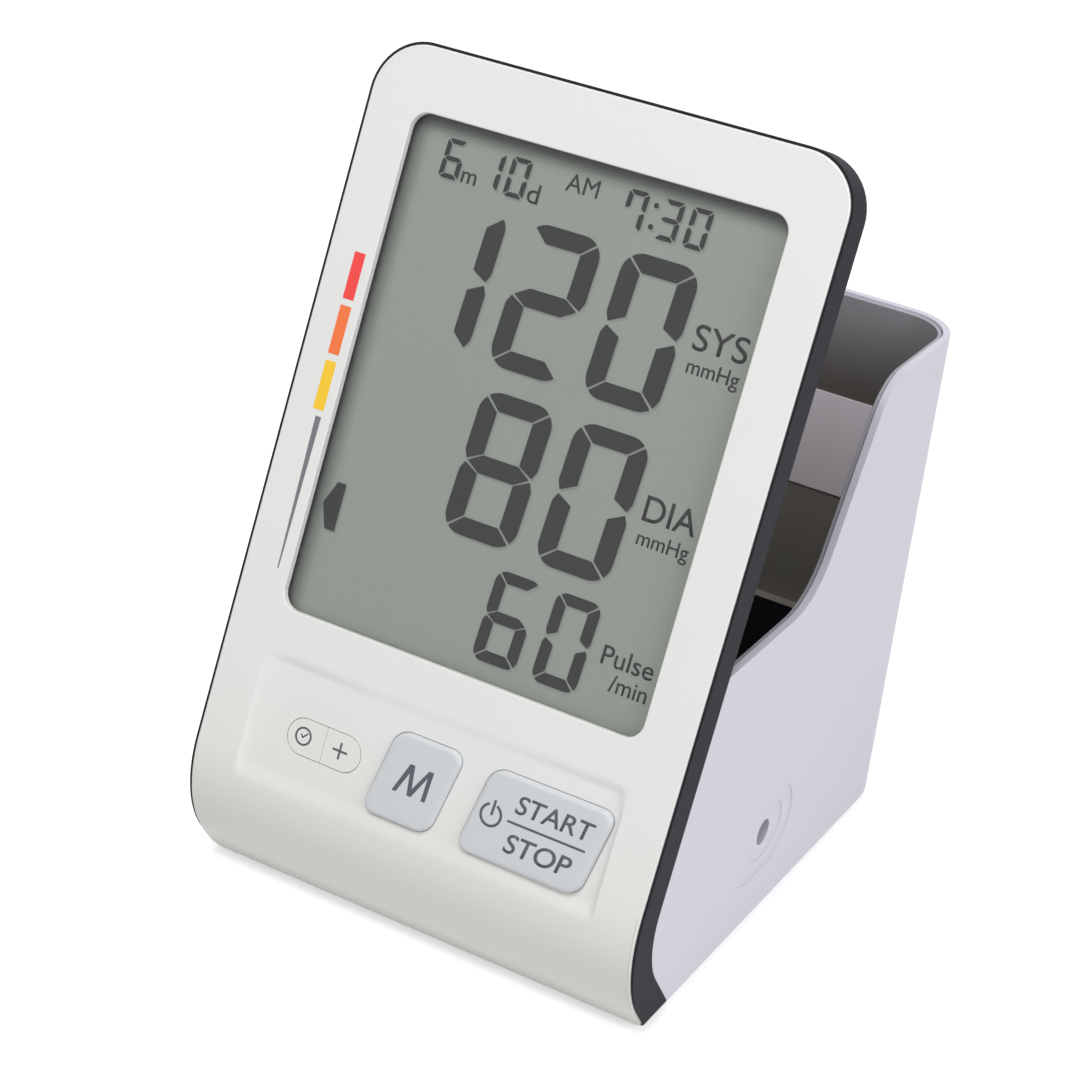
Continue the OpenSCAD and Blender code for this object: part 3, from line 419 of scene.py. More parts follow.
def new_group(name: str, inputs: dict[str, float | tuple[float, float, float]],
              outputs: list[str]) -> tuple[bpy.types.NodeTree, bpy.types.Node, bpy.types.Node]:
    """Starts a node group.

    Args:
        name: Its name.
        inputs: Its inputs with their first values; a triple makes a vector.
        outputs: Names of its outputs, all of them plain values.

    Returns:
        The group, its entry node and its exit node.
    """
    tree = bpy.data.node_groups.new(name, "ShaderNodeTree")
    for socket, value in inputs.items():
        kind = "NodeSocketVector" if isinstance(value, tuple) else "NodeSocketFloat"
        tree.interface.new_socket(name=socket, in_out="INPUT", socket_type=kind).default_value = value
    for socket in outputs:
        tree.interface.new_socket(name=socket, in_out="OUTPUT", socket_type="NodeSocketFloat")
    return tree, tree.nodes.new("NodeGroupInput"), tree.nodes.new("NodeGroupOutput")


class Groups:
    """The node groups that more than one finish uses, each built once."""

    @staticmethod
    def moulded_grain() -> bpy.types.NodeTree:
        """Builds the fine grain of moulded plastic: a height, slow patches of tone, and rare specks.

        Returns:
            The node group.
        """
        found = bpy.data.node_groups.get("moulded_grain")
        if found is not None:
            return found
        inputs = {"Vector": (0.0, 0.0, 0.0), "Grain per metre": 3000.0, "Patches per metre": 25.0}
        tree, entry, leave = new_group("moulded_grain", inputs, ["Height", "Patch", "Speck"])
        grain = add_node(tree, "TexNoise", {"Detail": 3.0, "Roughness": 0.6})
        patch = add_node(tree, "TexNoise", {"Detail": 2.0})
        speck = add_node(tree, "TexVoronoi", {"Scale": 900.0})
        dots = add_node(tree, "MapRange", {"From Min": 0.05, "From Max": 0.12, "To Min": 1.0, "To Max": 0.0})
        for texture in (grain, patch, speck):
            join(tree, (entry.outputs["Vector"], texture.inputs["Vector"]))
        join(tree, (entry.outputs["Grain per metre"], grain.inputs["Scale"]),
             (entry.outputs["Patches per metre"], patch.inputs["Scale"]),
             (speck.outputs["Distance"], dots.inputs["Value"]),
             (grain.outputs["Fac"], leave.inputs["Height"]), (patch.outputs["Fac"], leave.inputs["Patch"]),
             (dots.outputs["Result"], leave.inputs["Speck"]))
        return tree

    @staticmethod
    def tone_by_place() -> bpy.types.NodeTree:
        """Builds a mask that runs from 0 to 1 between two places along a direction.

        Returns:
            The node group.
        """
        found = bpy.data.node_groups.get("tone_by_place")
        if found is not None:
            return found
        inputs = {"Vector": (0.0, 0.0, 0.0), "Direction": (0.0, 0.0, 1.0), "From": 0.0, "To": 0.1}
        tree, entry, leave = new_group("tone_by_place", inputs, ["Mask"])
        along = add_node(tree, "VectorMath", operation="DOT_PRODUCT")
        span = add_node(tree, "MapRange", interpolation_type="SMOOTHSTEP")
        join(tree, (entry.outputs["Vector"], along.inputs[0]), (entry.outputs["Direction"], along.inputs[1]),
             (along.outputs["Value"], span.inputs["Value"]), (entry.outputs["From"], span.inputs["From Min"]),
             (entry.outputs["To"], span.inputs["From Max"]), (span.outputs["Result"], leave.inputs["Mask"]))
        return tree

    @staticmethod
    def add(tree: bpy.types.NodeTree, group: bpy.types.NodeTree, place: bpy.types.NodeSocket,
            values: dict[str, object]) -> bpy.types.Node:
        """Puts a group into a material.

        Args:
            tree: The material.
            group: The group.
            place: The place on the surface that it works on.
            values: Values of its other inputs.

        Returns:
            The group's node.
        """
        node = add_node(tree, "Group", values, node_tree=group)
        join(tree, (place, node.inputs["Vector"]))
        return node


@dataclass(frozen=True)
class PaintedLightFade:
    """A second colour that a surface runs into between two places along a direction, in metres; each one here
    is painted light or shade.
    """

    colour: Colour
    start: float
    end: float
    direction: tuple[float, float, float] = (0.0, 0.0, 1.0)


@dataclass(frozen=True)
class Finish:
    """A moulded, painted or metal finish, whose tone and roughness change slowly over the surface."""

    name: str
    colour: Colour
    second: Colour
    rough: tuple[float, float] = (0.4, 0.5)
    grain: float = 3000.0
    patches: float = 25.0
    bump: float = 0.15
    depth: float = 0.00003
    metallic: float = 0.0
    specular: float = 0.5
    coat: float = 0.0
    speck: Colour | None = None
    painted_light_fades: tuple[PaintedLightFade, ...] = ()

    def build(self) -> bpy.types.Material:
        """Builds the material.

        Returns:
            The material, with its pattern on Object coordinates.
        """
        found = bpy.data.materials.get(self.name)
        if found is not None and found.get("finish"):
            return found
        material = bpy.data.materials.new(self.name)
        material["finish"] = True
        material.use_nodes = True
        material.diffuse_color = (*self.colour, 1.0)
        tree = material.node_tree
        shader = tree.nodes["Principled BSDF"]
        place = add_node(tree, "TexCoord").outputs["Object"]
        grain = Groups.add(tree, Groups.moulded_grain(), place,
                           {"Grain per metre": self.grain, "Patches per metre": self.patches})
        rough = add_node(tree, "MapRange", {"From Min": 0.3, "From Max": 0.7, "To Min": self.rough[0],
                                            "To Max": self.rough[1]})
        relief = add_node(tree, "Bump", {"Strength": self.bump, "Distance": self.depth})
        height = grain.outputs["Height"]
        join(tree, (self.tone(tree, place, grain), shader.inputs["Base Color"]),
             (height, rough.inputs["Value"]), (rough.outputs["Result"], shader.inputs["Roughness"]),
             (height, relief.inputs["Height"]), (relief.outputs["Normal"], shader.inputs["Normal"]))
        fill(shader, {"Metallic": self.metallic, "Specular IOR Level": self.specular,
                      "Coat Weight": self.coat, "Coat Roughness": 0.12})
        return material

    def tone(self, tree: bpy.types.NodeTree, place: bpy.types.NodeSocket,
             grain: bpy.types.Node) -> bpy.types.NodeSocket:
        """Mixes the finish's colours: slow patches, then each fade of painted light or shade, then the
        specks.

        Args:
            tree: The material that is being built.
            place: The place on the surface.
            grain: The moulded grain.

        Returns:
            The colour.
        """
        colour = mix(tree, grain.outputs["Patch"], self.colour, self.second)
        for fade in self.painted_light_fades:
            mask = Groups.add(tree, Groups.tone_by_place(), place,
                              {"Direction": fade.direction, "From": fade.start, "To": fade.end})
            colour = mix(tree, mask.outputs["Mask"], colour, fade.colour)
        if self.speck is not None:
            colour = mix(tree, grain.outputs["Speck"], colour, self.speck)
        return colour


@dataclass(frozen=True)
class ClearWindow:
    """Clear moulded window: it lets light through to the display and shines a little."""

    name: str = "window_clear"
    tint: Colour = (0.97, 0.985, 0.98)
    bend: float = 1.25
    specular: float = 0.25
    rough: float = 0.012
    passing: float = 0.96

    def build(self) -> bpy.types.Material:
        """Builds the material.

        Returns:
            The material. Shadow and diffuse rays pass it, so that the display behind it is lit.
        """
        material = bpy.data.materials.new(self.name)
        material.use_nodes = True
        tree = material.node_tree
        shader = tree.nodes["Principled BSDF"]
        fill(shader, {"Transmission Weight": 1.0, "IOR": self.bend, "Specular IOR Level": self.specular})
        place = add_node(tree, "TexCoord").outputs["Object"]
        grain = Groups.add(tree, Groups.moulded_grain(), place, {"Grain per metre": 150.0})
        tone = mix(tree, grain.outputs["Patch"], self.tint, (1.0, 1.0, 1.0))
        rough = add_node(tree, "MapRange", {"To Min": 0.0, "To Max": self.rough})
        lit = any_ray(tree, "Is Shadow Ray", "Is Diffuse Ray")
        opacity = add_node(tree, "Math", {1: -self.passing, 2: 1.0}, operation="MULTIPLY_ADD")
        join(tree, (tone, shader.inputs["Base Color"]), (grain.outputs["Height"], rough.inputs["Value"]),
             (rough.outputs["Result"], shader.inputs["Roughness"]), (lit, opacity.inputs[0]),
             (opacity.outputs["Value"], shader.inputs["Alpha"]))
        return material


# The cover's white darkens towards its lower edge, where the chin curves under: painted shade.
COVER_WHITE = Finish("cover_white", (0.80, 0.80, 0.785), (0.77, 0.77, 0.755), rough=(0.32, 0.42), bump=0.1,
                     painted_light_fades=(PaintedLightFade((0.74, 0.735, 0.70), 0.052, 0.012),))
KEY_WHITE = Finish("key_white", (0.775, 0.77, 0.745), (0.75, 0.745, 0.72), rough=(0.32, 0.42), bump=0.1)
TRIM_SLATE = Finish("trim_slate", (0.019, 0.0205, 0.025), (0.023, 0.025, 0.03), rough=(0.5, 0.62), bump=0.25,
                    specular=0.06)
HOUSING_LILAC = Finish("housing_lilac", (0.68, 0.665, 0.755), (0.65, 0.64, 0.73), rough=(0.34, 0.44),
                       bump=0.1)
# The liner's dark tone is its own. Its two fades are painted light: paler towards the rim at the top, and
# paler again on the low part of the wall.
LINER_DARK = Finish("liner_dark", (0.115, 0.104, 0.094), (0.125, 0.114, 0.103), rough=(0.42, 0.55), bump=0.3,
                    specular=0.3,
                    painted_light_fades=(PaintedLightFade((0.33, 0.32, 0.345), 0.09, 0.121), PaintedLightFade((0.27, 0.25, 0.228), 0.08, 0.064)))
MAT_BLACK = Finish("mat_black", (0.002, 0.002, 0.003), (0.004, 0.004, 0.006), rough=(0.85, 0.95),
                   grain=1200.0, bump=0.8, depth=0.0003, specular=0.1)
# A mid grey for the upward faces of the liner's rim: painted shade on the rim band's top.
RIM_SHADE_GREY = Finish("rim_shade_grey", (0.42, 0.415, 0.465), (0.39, 0.385, 0.435), rough=(0.45, 0.55), bump=0.1)
STRIP_GREY = Finish("strip_grey", (0.93, 0.87, 0.93), (0.96, 0.90, 0.96), rough=(0.5, 0.6), patches=18.0)
BASE_GREY = Finish("base_grey", (0.55, 0.54, 0.61), (0.52, 0.51, 0.58), rough=(0.42, 0.55), bump=0.25)
KEY_PALE = Finish("key_pale", (0.625, 0.645, 0.665), (0.60, 0.62, 0.64), rough=(0.3, 0.4), bump=0.08)
UP_THE_HEAD = (0.0, math.sin(HEAD.lean), math.cos(HEAD.lean))
# The display's tone darkens towards its top and left edges: a painted shadow of the window's frame.
LCD_GREY = Finish("lcd_grey", (0.262, 0.285, 0.258), (0.30, 0.322, 0.294), rough=(0.5, 0.6), grain=1100.0,
                  patches=900.0, bump=0.05, specular=0.1,
                  painted_light_fades=(PaintedLightFade((0.095, 0.10, 0.095), 0.1384, 0.1440, UP_THE_HEAD),
                         PaintedLightFade((0.055, 0.058, 0.055), 0.0365, 0.0428, (-1.0, 0.0, 0.0))))
LCD_SHADOW = Finish("lcd_shadow", (0.215, 0.232, 0.212), (0.24, 0.257, 0.236), rough=(0.5, 0.6),
                    patches=900.0, specular=0.1)
LCD_INK = Finish("lcd_ink", (0.036, 0.037, 0.037), (0.04, 0.041, 0.041), rough=(0.5, 0.6), patches=400.0,
                 specular=0.1)
KEY_INK = Finish("key_ink", (0.075, 0.082, 0.105), (0.09, 0.097, 0.12), rough=(0.5, 0.6), patches=400.0)
BAR_RED = Finish("bar_red", (0.89, 0.065, 0.06), (0.85, 0.06, 0.055), rough=(0.4, 0.5))
BAR_ORANGE = Finish("bar_orange", (0.91, 0.19, 0.05), (0.87, 0.175, 0.045), rough=(0.4, 0.5))
BAR_YELLOW = Finish("bar_yellow", (0.95, 0.60, 0.03), (0.91, 0.57, 0.03), rough=(0.4, 0.5))
BAR_GREY = Finish("bar_grey", (0.16, 0.165, 0.185), (0.18, 0.185, 0.205), rough=(0.4, 0.5))
INNER_WHITE = Finish("inner_white", (0.76, 0.76, 0.73), (0.7, 0.7, 0.67), rough=(0.45, 0.6))
ZEBRA_RUBBER = Finish("zebra_rubber", (0.05, 0.05, 0.055), (0.11, 0.08, 0.09), rough=(0.6, 0.75),
                      patches=1500.0)
BOARD_GREEN = Finish("board_green", (0.015, 0.13, 0.05), (0.02, 0.16, 0.07), rough=(0.3, 0.45), patches=220.0,
                     speck=(0.6, 0.5, 0.25))
JACK_BLACK = Finish("jack_black", (0.006, 0.006, 0.007), (0.01, 0.01, 0.011), rough=(0.75, 0.9), bump=0.3,
                    specular=0.05)
CHIP_BLACK = Finish("chip_black", (0.018, 0.018, 0.02), (0.028, 0.028, 0.03), rough=(0.5, 0.65), bump=0.3)
CONTACT_METAL = Finish("contact_metal", (0.66, 0.66, 0.63), (0.58, 0.58, 0.55), rough=(0.22, 0.38),
                       metallic=1.0)
SENSOR_METAL = Finish("sensor_metal", (0.6, 0.61, 0.63), (0.53, 0.54, 0.56), rough=(0.3, 0.45), metallic=1.0)
CELL_JACKET = Finish("cell_jacket", (0.03, 0.13, 0.06), (0.04, 0.16, 0.075), rough=(0.25, 0.35), coat=0.3)
MOTOR_CAN = Finish("motor_can", (0.56, 0.57, 0.59), (0.48, 0.49, 0.51), rough=(0.25, 0.42), metallic=1.0)
PUMP_BLACK = Finish("pump_black", (0.022, 0.022, 0.025), (0.035, 0.035, 0.038), rough=(0.45, 0.6), bump=0.3)
SHAFT_STEEL = Finish("shaft_steel", (0.62, 0.62, 0.64), (0.55, 0.55, 0.57), rough=(0.15, 0.25), metallic=1.0)
TUBE_SILICONE = Finish("tube_silicone", (0.55, 0.57, 0.57), (0.62, 0.64, 0.64), rough=(0.3, 0.4), bump=0.1)
FOOT_RUBBER = Finish("foot_rubber", (0.025, 0.025, 0.028), (0.04, 0.04, 0.043), rough=(0.7, 0.85), bump=0.5)
SCREW_STEEL = Finish("screw_steel", (0.5, 0.5, 0.52), (0.42, 0.42, 0.44), rough=(0.25, 0.4), metallic=1.0)

NODE_FINISHES: dict[str, Finish | ClearWindow] = {
    "display_back": TRIM_SLATE, "air_socket": TRIM_SLATE, "lcd_cell": LCD_GREY, "lcd_holder": INNER_WHITE,
    "zebra_strips": ZEBRA_RUBBER, "main_board": BOARD_GREEN, "board_chips": CHIP_BLACK,
    "buzzer": CHIP_BLACK, "pressure_sensor": SENSOR_METAL, "key_contacts": CONTACT_METAL,
    "liner_mat": MAT_BLACK, "label_strip": STRIP_GREY, "base_plate": BASE_GREY, "battery_cover": BASE_GREY,
    "battery_cells": CELL_JACKET, "contact_springs": CONTACT_METAL, "contact_plates": CONTACT_METAL,
    "pump_motor": MOTOR_CAN, "pump_head": PUMP_BLACK, "motor_shaft": SHAFT_STEEL, "pump_cam": INNER_WHITE,
    "pump_bracket": BASE_GREY, "valve_body": MOTOR_CAN, "valve_plunger": SHAFT_STEEL,
    "air_manifold": INNER_WHITE, "air_tubes": TUBE_SILICONE, "dc_jack": JACK_BLACK,
    "jack_pin": CONTACT_METAL, "rubber_feet": FOOT_RUBBER, "base_screws": SCREW_STEEL,
    "head_screws": SCREW_STEEL, "board_screws": SCREW_STEEL, "display_lens": ClearWindow(),
}


def dress(piece: bpy.types.Object, material: bpy.types.Material) -> None:
    """Gives a whole piece one material."""
    piece.data.materials.clear()
    piece.data.materials.append(material)


def finished(piece: bpy.types.Object, finish: Finish, body: str) -> bpy.types.Object:
    """Dresses a new piece, lets it ride on a body and reports it.

    Args:
        piece: The new piece.
        finish: What it is made of.
        body: The CAD body that carries it.

    Returns:
        The same piece.
    """
    dress(piece, finish.build())
    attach(piece, body)
    LOG.info("%s rides on %s, %d faces", piece.name, body, len(piece.data.polygons))
    return piece


# ---------------------------------------------------------------- shells


def ease(value: float, start: float, end: float) -> float:
    """Gives a soft step that runs from 0 at the start to 1 at the end, in either direction."""
    share = min(max((value - start) / (end - start), 0.0), 1.0)
    return share * share * (3.0 - 2.0 * share)


@dataclass(frozen=True)
class KeyPocket:
    """The soft hollow round the keys and the chin below it, as a fine panel in the cover, in millimetres."""

    side: float = 51.3
    low: float = 12.2
    high: float = 59.0
    columns: int = 206
    rows: int = 94
    thickness: float = 1.45
    edge_left: float = -41.9
    edge_right: float = 42.3
    edge_high: float = 56.7
    edge_width: float = 0.75
    edge_width_high: float = 2.45
    widening: Point = (7.0, 1.0)
    corner: float = 2.5
    sink: float = 0.008
    floor: float = 0.32
    floor_up: float = 55.0
    fall: float = 0.014
    deeper: float = 0.4
    deeper_right: Point = (10.0, 41.0)
    deeper_left: Point = (-8.0, -36.0)
    ramp_reach: float = 1.9
    ramp_up: float = 34.0
    ramp_foot: float = 30.0
    ramp_widening: float = 0.29
    ramp_start: float = 0.3
    ramp_blur: float = 0.7
    lip: Point = (28.4, 33.2)
    clearance: float = 2.0

    def outline_mask(self, across: float, up: float) -> float:
        """Gives 0 outside the hollow's outline and 1 inside it, with a soft step between.

        Args:
            across: Place across the head.
            up: Place up the slope.

        Returns:
            The mask.
        """
        middle = (self.edge_left + self.edge_right) / 2
        beside = abs(across - middle) - (self.edge_right - middle) + self.corner
        above = up - self.edge_high + self.corner
        out = math.hypot(max(beside, 0.0), max(above, 0.0)) + min(max(beside, above), 0.0) - self.corner
        near_top = ease(up, self.edge_high - self.widening[0], self.edge_high - self.widening[1])
        wider = (self.edge_width_high - self.edge_width) * near_top
        return ease(-out, 0.0, self.edge_width + wider)

    def depth(self, across: float, up: float) -> float:
        """Gives how deep the hollow lies under the front face.

        Args:
            across: Place across the head.
            up: Place up the slope.

        Returns:
            The depth, 0 outside the hollow.
        """
        ends = ease(across, *self.deeper_right) + ease(across, *self.deeper_left)
        floor = self.floor + self.fall * (self.floor_up - up) + self.deeper * ends
        reach = self.ramp_reach + self.ramp_widening * (max(up, self.ramp_foot) - self.ramp_up)
        steps = [min(max((across - self.edge_left + shift) / reach, 0.0), 1.0)
                 for shift in (-self.ramp_blur, 0.0, self.ramp_blur)]
        ramp = self.ramp_start + (1.0 - self.ramp_start) * sum(steps) / len(steps)
        return floor * ramp * self.outline_mask(across, up) * ease(up, *self.lip)

    def surface(self, across: float, up: float) -> float:
        """Gives the height of the cover's face at a place, hollow and chin included."""
        return HEAD.front(up) - self.sink - self.depth(across, up)

    def slab(self, name: str, columns: int, top: Callable[[float, float], float]) -> bpy.types.Object:
        """Builds a slab whose lower face follows the chin.

        Args:
            name: Name of the new piece.
            columns: How many cells it has across.
            top: Gives the height of its upper face at a place.

        Returns:
            The closed slab, drawn in millimetres in the head's axes.
        """
        bpy.ops.object.select_all(action="DESELECT")
        bpy.ops.mesh.primitive_grid_add(x_subdivisions=columns, y_subdivisions=self.rows, size=1.0,
                                        location=(0, 0, 0))
        piece = bpy.context.object
        piece.name = name
        for vertex in piece.data.vertices:
            x, y = vertex.co.x * 2 * self.side, self.low + (vertex.co.y + 0.5) * (self.high - self.low)
            vertex.co = (x, y, top(x, y))
        count = len(piece.data.vertices)
        bpy.ops.object.mode_set(mode="EDIT")
        bpy.ops.mesh.select_all(action="SELECT")
        bpy.ops.mesh.extrude_region_move(TRANSFORM_OT_translate={"value": (0, 0, -1)})
        bpy.ops.object.mode_set(mode="OBJECT")
        for vertex in list(piece.data.vertices)[count:]:
            vertex.co.z = HEAD.front(vertex.co.y) - self.thickness
        clean_solid(piece)
        return piece

    def panel(self) -> bpy.types.Object:
        """Builds the panel, bent to the hollow and the chin."""
        return self.slab("pocket_panel", self.columns, self.surface)

    def opening(self) -> bpy.types.Object:
        """Builds the block that makes room for the panel in the cover."""
        return self.slab("pocket_opening", 1, lambda across, up: HEAD.front(up) + self.clearance)


POCKET = KeyPocket()


def cut(piece: bpy.types.Object, cutter: bpy.types.Object) -> None:
    """Takes one solid away from another and removes the solid that was taken.

    Args:
        piece: The solid that is cut.
        cutter: The solid that is taken away.
    """
    alone(piece)
    bpy.ops.object.modifier_add(type="BOOLEAN")
    boolean = piece.modifiers[-1]
    boolean.operation = "DIFFERENCE"
    boolean.solver = "EXACT"
    boolean.object = cutter
    bpy.ops.object.modifier_apply(modifier=boolean.name)
    bpy.data.objects.remove(cutter)


@dataclass
class Shells:
    """The outer shells, as copies of the CAD solids with rounded edges. Sizes are in millimetres."""

    cover_edge: float = 0.4
    window_edge: float = 0.3
    trim_edge: float = 0.15
    rim_edge: float = 0.6
    liner_edge: float = 0.25
    rim_from: float = 45.0
    rim_slope: float = 0.12
    window_reach: tuple[float, float, float] = (42.0, 65.0, 169.0)
    outline_from: tuple[float, float, float] = (51.9, 170.0, 12.0)
    outline_near: float = 0.06
    angles: Point = (35, 140)

    def build(self) -> None:
        """Builds the front cover, the trim frame, the rear housing and the bin's liner."""
        self.cover()
        self.shell("trim_frame", "trim_shell", self.trim_edge, TRIM_SLATE)
        self.shell("rear_housing", "housing_shell", self.rim_edge, HOUSING_LILAC, segments=4)
        self.shell("storage_liner", "liner_shell", self.liner_edge, LINER_DARK)

    def cover(self) -> None:
        """Builds the front cover: its rounded edges, and the key pocket as a soft panel let into it."""
        piece = whole_copy("front_cover", "cover_shell")
        edges = ((self.window_edge, 3, self.at_window), (self.cover_edge, 4, self.at_outline))
        for width, segments, wanted in edges:
            round_edges(piece, self.angles, width * MM, segments, wanted, clamp=False)
        block = POCKET.opening()
        settle(block, HEAD.matrix())
        cut(piece, block)
        panel = POCKET.panel()
        for key in KEYS:
            cut(panel, key.opening())
        settle(panel, HEAD.matrix())
        smooth(piece)
        alone(panel)
        bpy.ops.object.shade_smooth_by_angle(angle=math.radians(30))
        alone(piece)
        panel.select_set(True)
        bpy.ops.object.join()
        finished(piece, COVER_WHITE, BODY)
        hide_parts("front_cover")

    def at_window(self, first: Vector, second: Vector) -> bool:
        """Tells whether an edge is on the window's front rim.

        Args:
            first: One end of the edge.
            second: Its other end.

        Returns:
            True on the rim.
        """
        places = [HEAD.place(point) for point in (first, second)]
        across, low, high = self.window_reach
        return all(p.z > -NEAR and abs(p.x) < across and low < p.y < high for p in places)

    def at_outline(self, first: Vector, second: Vector) -> bool:
        """Tells whether an edge is on the cover's front outline.

        Args:
            first: One end of the edge.
            second: Its other end.

        Returns:
            True on the outline.
        """
        places = [HEAD.place(point) for point in (first, second)]
        across, high, foot = self.outline_from
        sides = all(abs(p.x) > across or p.y > high for p in places)
        return sides and all(p.y > foot and abs(p.z - HEAD.front(p.y)) < self.outline_near for p in places)

    def shell(self, node: str, name: str, width: float, finish: Finish, segments: int = 3) -> None:
        """Builds one shell that stands for a CAD node.

        Args:
            node: The CAD node.
            name: Name of the new piece.
            width: Width of its rounded edges.
            finish: What it is made of.
            segments: How many faces the rounding gets.
        """
        piece = whole_copy(node, name)
        soften(piece, width, segments)
        smooth(piece)
        finished(piece, finish, BODY)
        # The liner's upward faces near the rim get a painted shade grey.
        if node == "storage_liner":
            self.shade_rim_top(piece)
        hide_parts(node)

    def shade_rim_top(self, piece: bpy.types.Object) -> None:
        """Gives the liner's upward faces near its rim a mid grey: painted shade on the rim band's top, paler
        than the liner and darker than the housing.

        Args:
            piece: The liner.
        """
        piece.data.materials.append(RIM_SHADE_GREY.build())
        for face in piece.data.polygons:
            if face.normal.z > self.rim_slope and face.center.z > self.rim_from * MM:
                face.material_index = 1


# ---------------------------------------------------------------- keys


@dataclass
class LargeKey:
    """One of the two large keys: a slanted cap with soft edges. Sizes are in millimetres."""

    name: str
    node: str
    body: str
    middle: float
    width: float
    height: float = 18.43
    up: float = 41.608
    slant: float = 0.2
    corner: float = 3.2
    edge: float = 1.1
    crown_rise: float = 0.06
    crown_inset: float = 1.2
    depth: float = 3.9
    gap: float = 0.12
    cutter: float = 6.0
    angles: Point = (30, 180)

    def block(self, margin: float, low: float, high: float) -> bpy.types.Object:
        """Builds a slanted block with rounded corners, from one height to another.

        Args:
            margin: How much larger than the key it is, all round.
            low: Height of its lower end.
            high: Height of its upper end.

        Returns:
            The block, about the key's middle.
        """
        bpy.ops.object.select_all(action="DESELECT")
        bpy.ops.mesh.primitive_cube_add(size=1.0, location=(0, 0, 0))
        piece = bpy.context.object
        width, height = self.width + 2 * margin, self.height + 2 * margin
        for vertex in piece.data.vertices:
            x, y, z = vertex.co
            vertex.co = (x * width + y * height * self.slant, y * height, high if z > 0 else low)
        round_edges(piece, self.angles, self.corner + margin, 10, lambda a, b: abs(a.z - b.z) > 1.0)
        return piece

    def opening(self) -> bpy.types.Object:
        """Builds the block that makes the key's opening in the cover.

        Returns:
            The block, in the head's axes.
        """
        piece = self.block(self.gap, -self.cutter, self.cutter)
        settle(piece, Matrix.Translation((self.middle, self.up, 0.0)))
        return piece

    def build(self) -> None:
        """Builds the cap from a block: slanted, rounded at its corners, then along its front edge."""
        piece = self.block(0.0, HEAD.key_top - self.depth, HEAD.key_top)
        piece.name = self.name
        round_edges(piece, self.angles, self.edge, 6, lambda a, b: min(a.z, b.z) > HEAD.key_top - NEAR)
        self.crown(piece)
        settle(piece, HEAD.matrix(self.middle, self.up))
        smooth(piece, 40.0)
        finished(piece, KEY_PALE, self.body)
        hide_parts(self.node)

    def crown(self, piece: bpy.types.Object) -> None:
        """Insets the top face and lifts its middle a little.

        Args:
            piece: The cap, about the key's middle.
        """
        alone(piece)
        bpy.ops.object.mode_set(mode="EDIT")
        bpy.ops.mesh.select_mode(type="FACE")
        bpy.ops.mesh.select_all(action="DESELECT")
        mesh = bmesh.from_edit_mesh(piece.data)
        for face in mesh.faces:
            face.select = face.normal.z > OUTWARD and face.calc_center_median().z > HEAD.key_top - NEAR
        bmesh.update_edit_mesh(piece.data)
        bpy.ops.mesh.inset(thickness=self.crown_inset)
        bpy.ops.transform.translate(value=(0, 0, self.crown_rise))
        bpy.ops.object.mode_set(mode="OBJECT")


class Side(Enum):
    """The two ends of the small oval."""

    LEFT = -1
    RIGHT = 1


@dataclass
class SmallKey:
    """Half of the small oval, whose face follows the pocket's floor. Sizes are in millimetres."""

    name: str
    node: str
    body: str
    side: Side
    middle: float = -23.66
    up: float = 41.608
    width: float = 17.55
    height: float = 7.57
    split: float = 0.03
    stand: float = 0.02
    edge: float = 0.12
    depth: float = 4.0
    gap: float = 0.14
    reach: float = 1.0
    angles: Point = (60, 110)

    def half(self, name: str, margin: float, split: float, steps: int, thickness: float) -> bpy.types.Object:
        """Draws this half of the oval.

        Args:
            name: Name of the new piece.
            margin: How much larger than the key it is at its round end.
            split: Where its straight side lies, from the oval's middle towards this half.
            steps: How many straight lines make its round end.
            thickness: Its thickness, half of it on each side of the drawing's plane.

        Returns:
            The piece, about the oval's middle.
        """
        side, radius = self.side.value, self.height / 2 + margin
        end = (side * (self.width - self.height) / 2, 0.0)
        outline = arc_points(end, radius, -90 * side, 180 - 90 * side, steps)
        straight = [(side * split, side * radius), (side * split, -side * radius)]
        return flat_drawing(name, [outline + straight], thickness)

    def opening(self) -> bpy.types.Object:
        """Builds the block that makes the opening of this half in the cover.

        Returns:
            The block, in the head's axes.
        """
        piece = self.half(self.name + "_opening", self.gap, -self.reach, 24, 3 * self.depth)
        settle(piece, Matrix.Translation((self.middle, self.up, 0.0)))
        return piece

    def build(self) -> None:
        """Builds the half oval, lays its face along the pocket's floor and softens its edge."""
        piece = self.half(self.name, 0.0, self.split, 20, self.depth)
        for vertex in piece.data.vertices:
            x, y, z = vertex.co
            top = POCKET.surface(x + self.middle, y + self.up) + self.stand
            vertex.co.z = top if z > 0 else -self.depth
        round_edges(piece, self.angles, self.edge, 2, lambda a, b: min(a.z, b.z) > 1.0 - self.depth)
        settle(piece, HEAD.matrix(self.middle, self.up))
        smooth(piece)
        finished(piece, KEY_WHITE, self.body)
        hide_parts(self.node)


KEYS: list[LargeKey | SmallKey] = [
    LargeKey("start_stop_cap", "start_stop_button", "start_stop_key", 25.86, 27.72),
    LargeKey("memory_cap", "memory_button", "memory_key", -2.14, 15.9),
    SmallKey("clock_cap", "clock_key", "clock_press_key", Side.LEFT),
    SmallKey("plus_cap", "plus_key", "plus_press_key", Side.RIGHT),
]


# ---------------------------------------------------------------- display print


class Bar(Enum):
    """The seven bars of one figure, by their usual letters."""

    TOP = "a"
    RIGHT_HIGH = "b"
    RIGHT_LOW = "c"
    BOTTOM = "d"
    LEFT_LOW = "e"
    LEFT_HIGH = "f"
    MIDDLE = "g"


FIGURES: dict[str, str] = {
    "0": "abcdef", "1": "bc", "2": "abged", "3": "abgcd", "6": "afedcg", "7": "fabc", "8": "abcdefg",
}


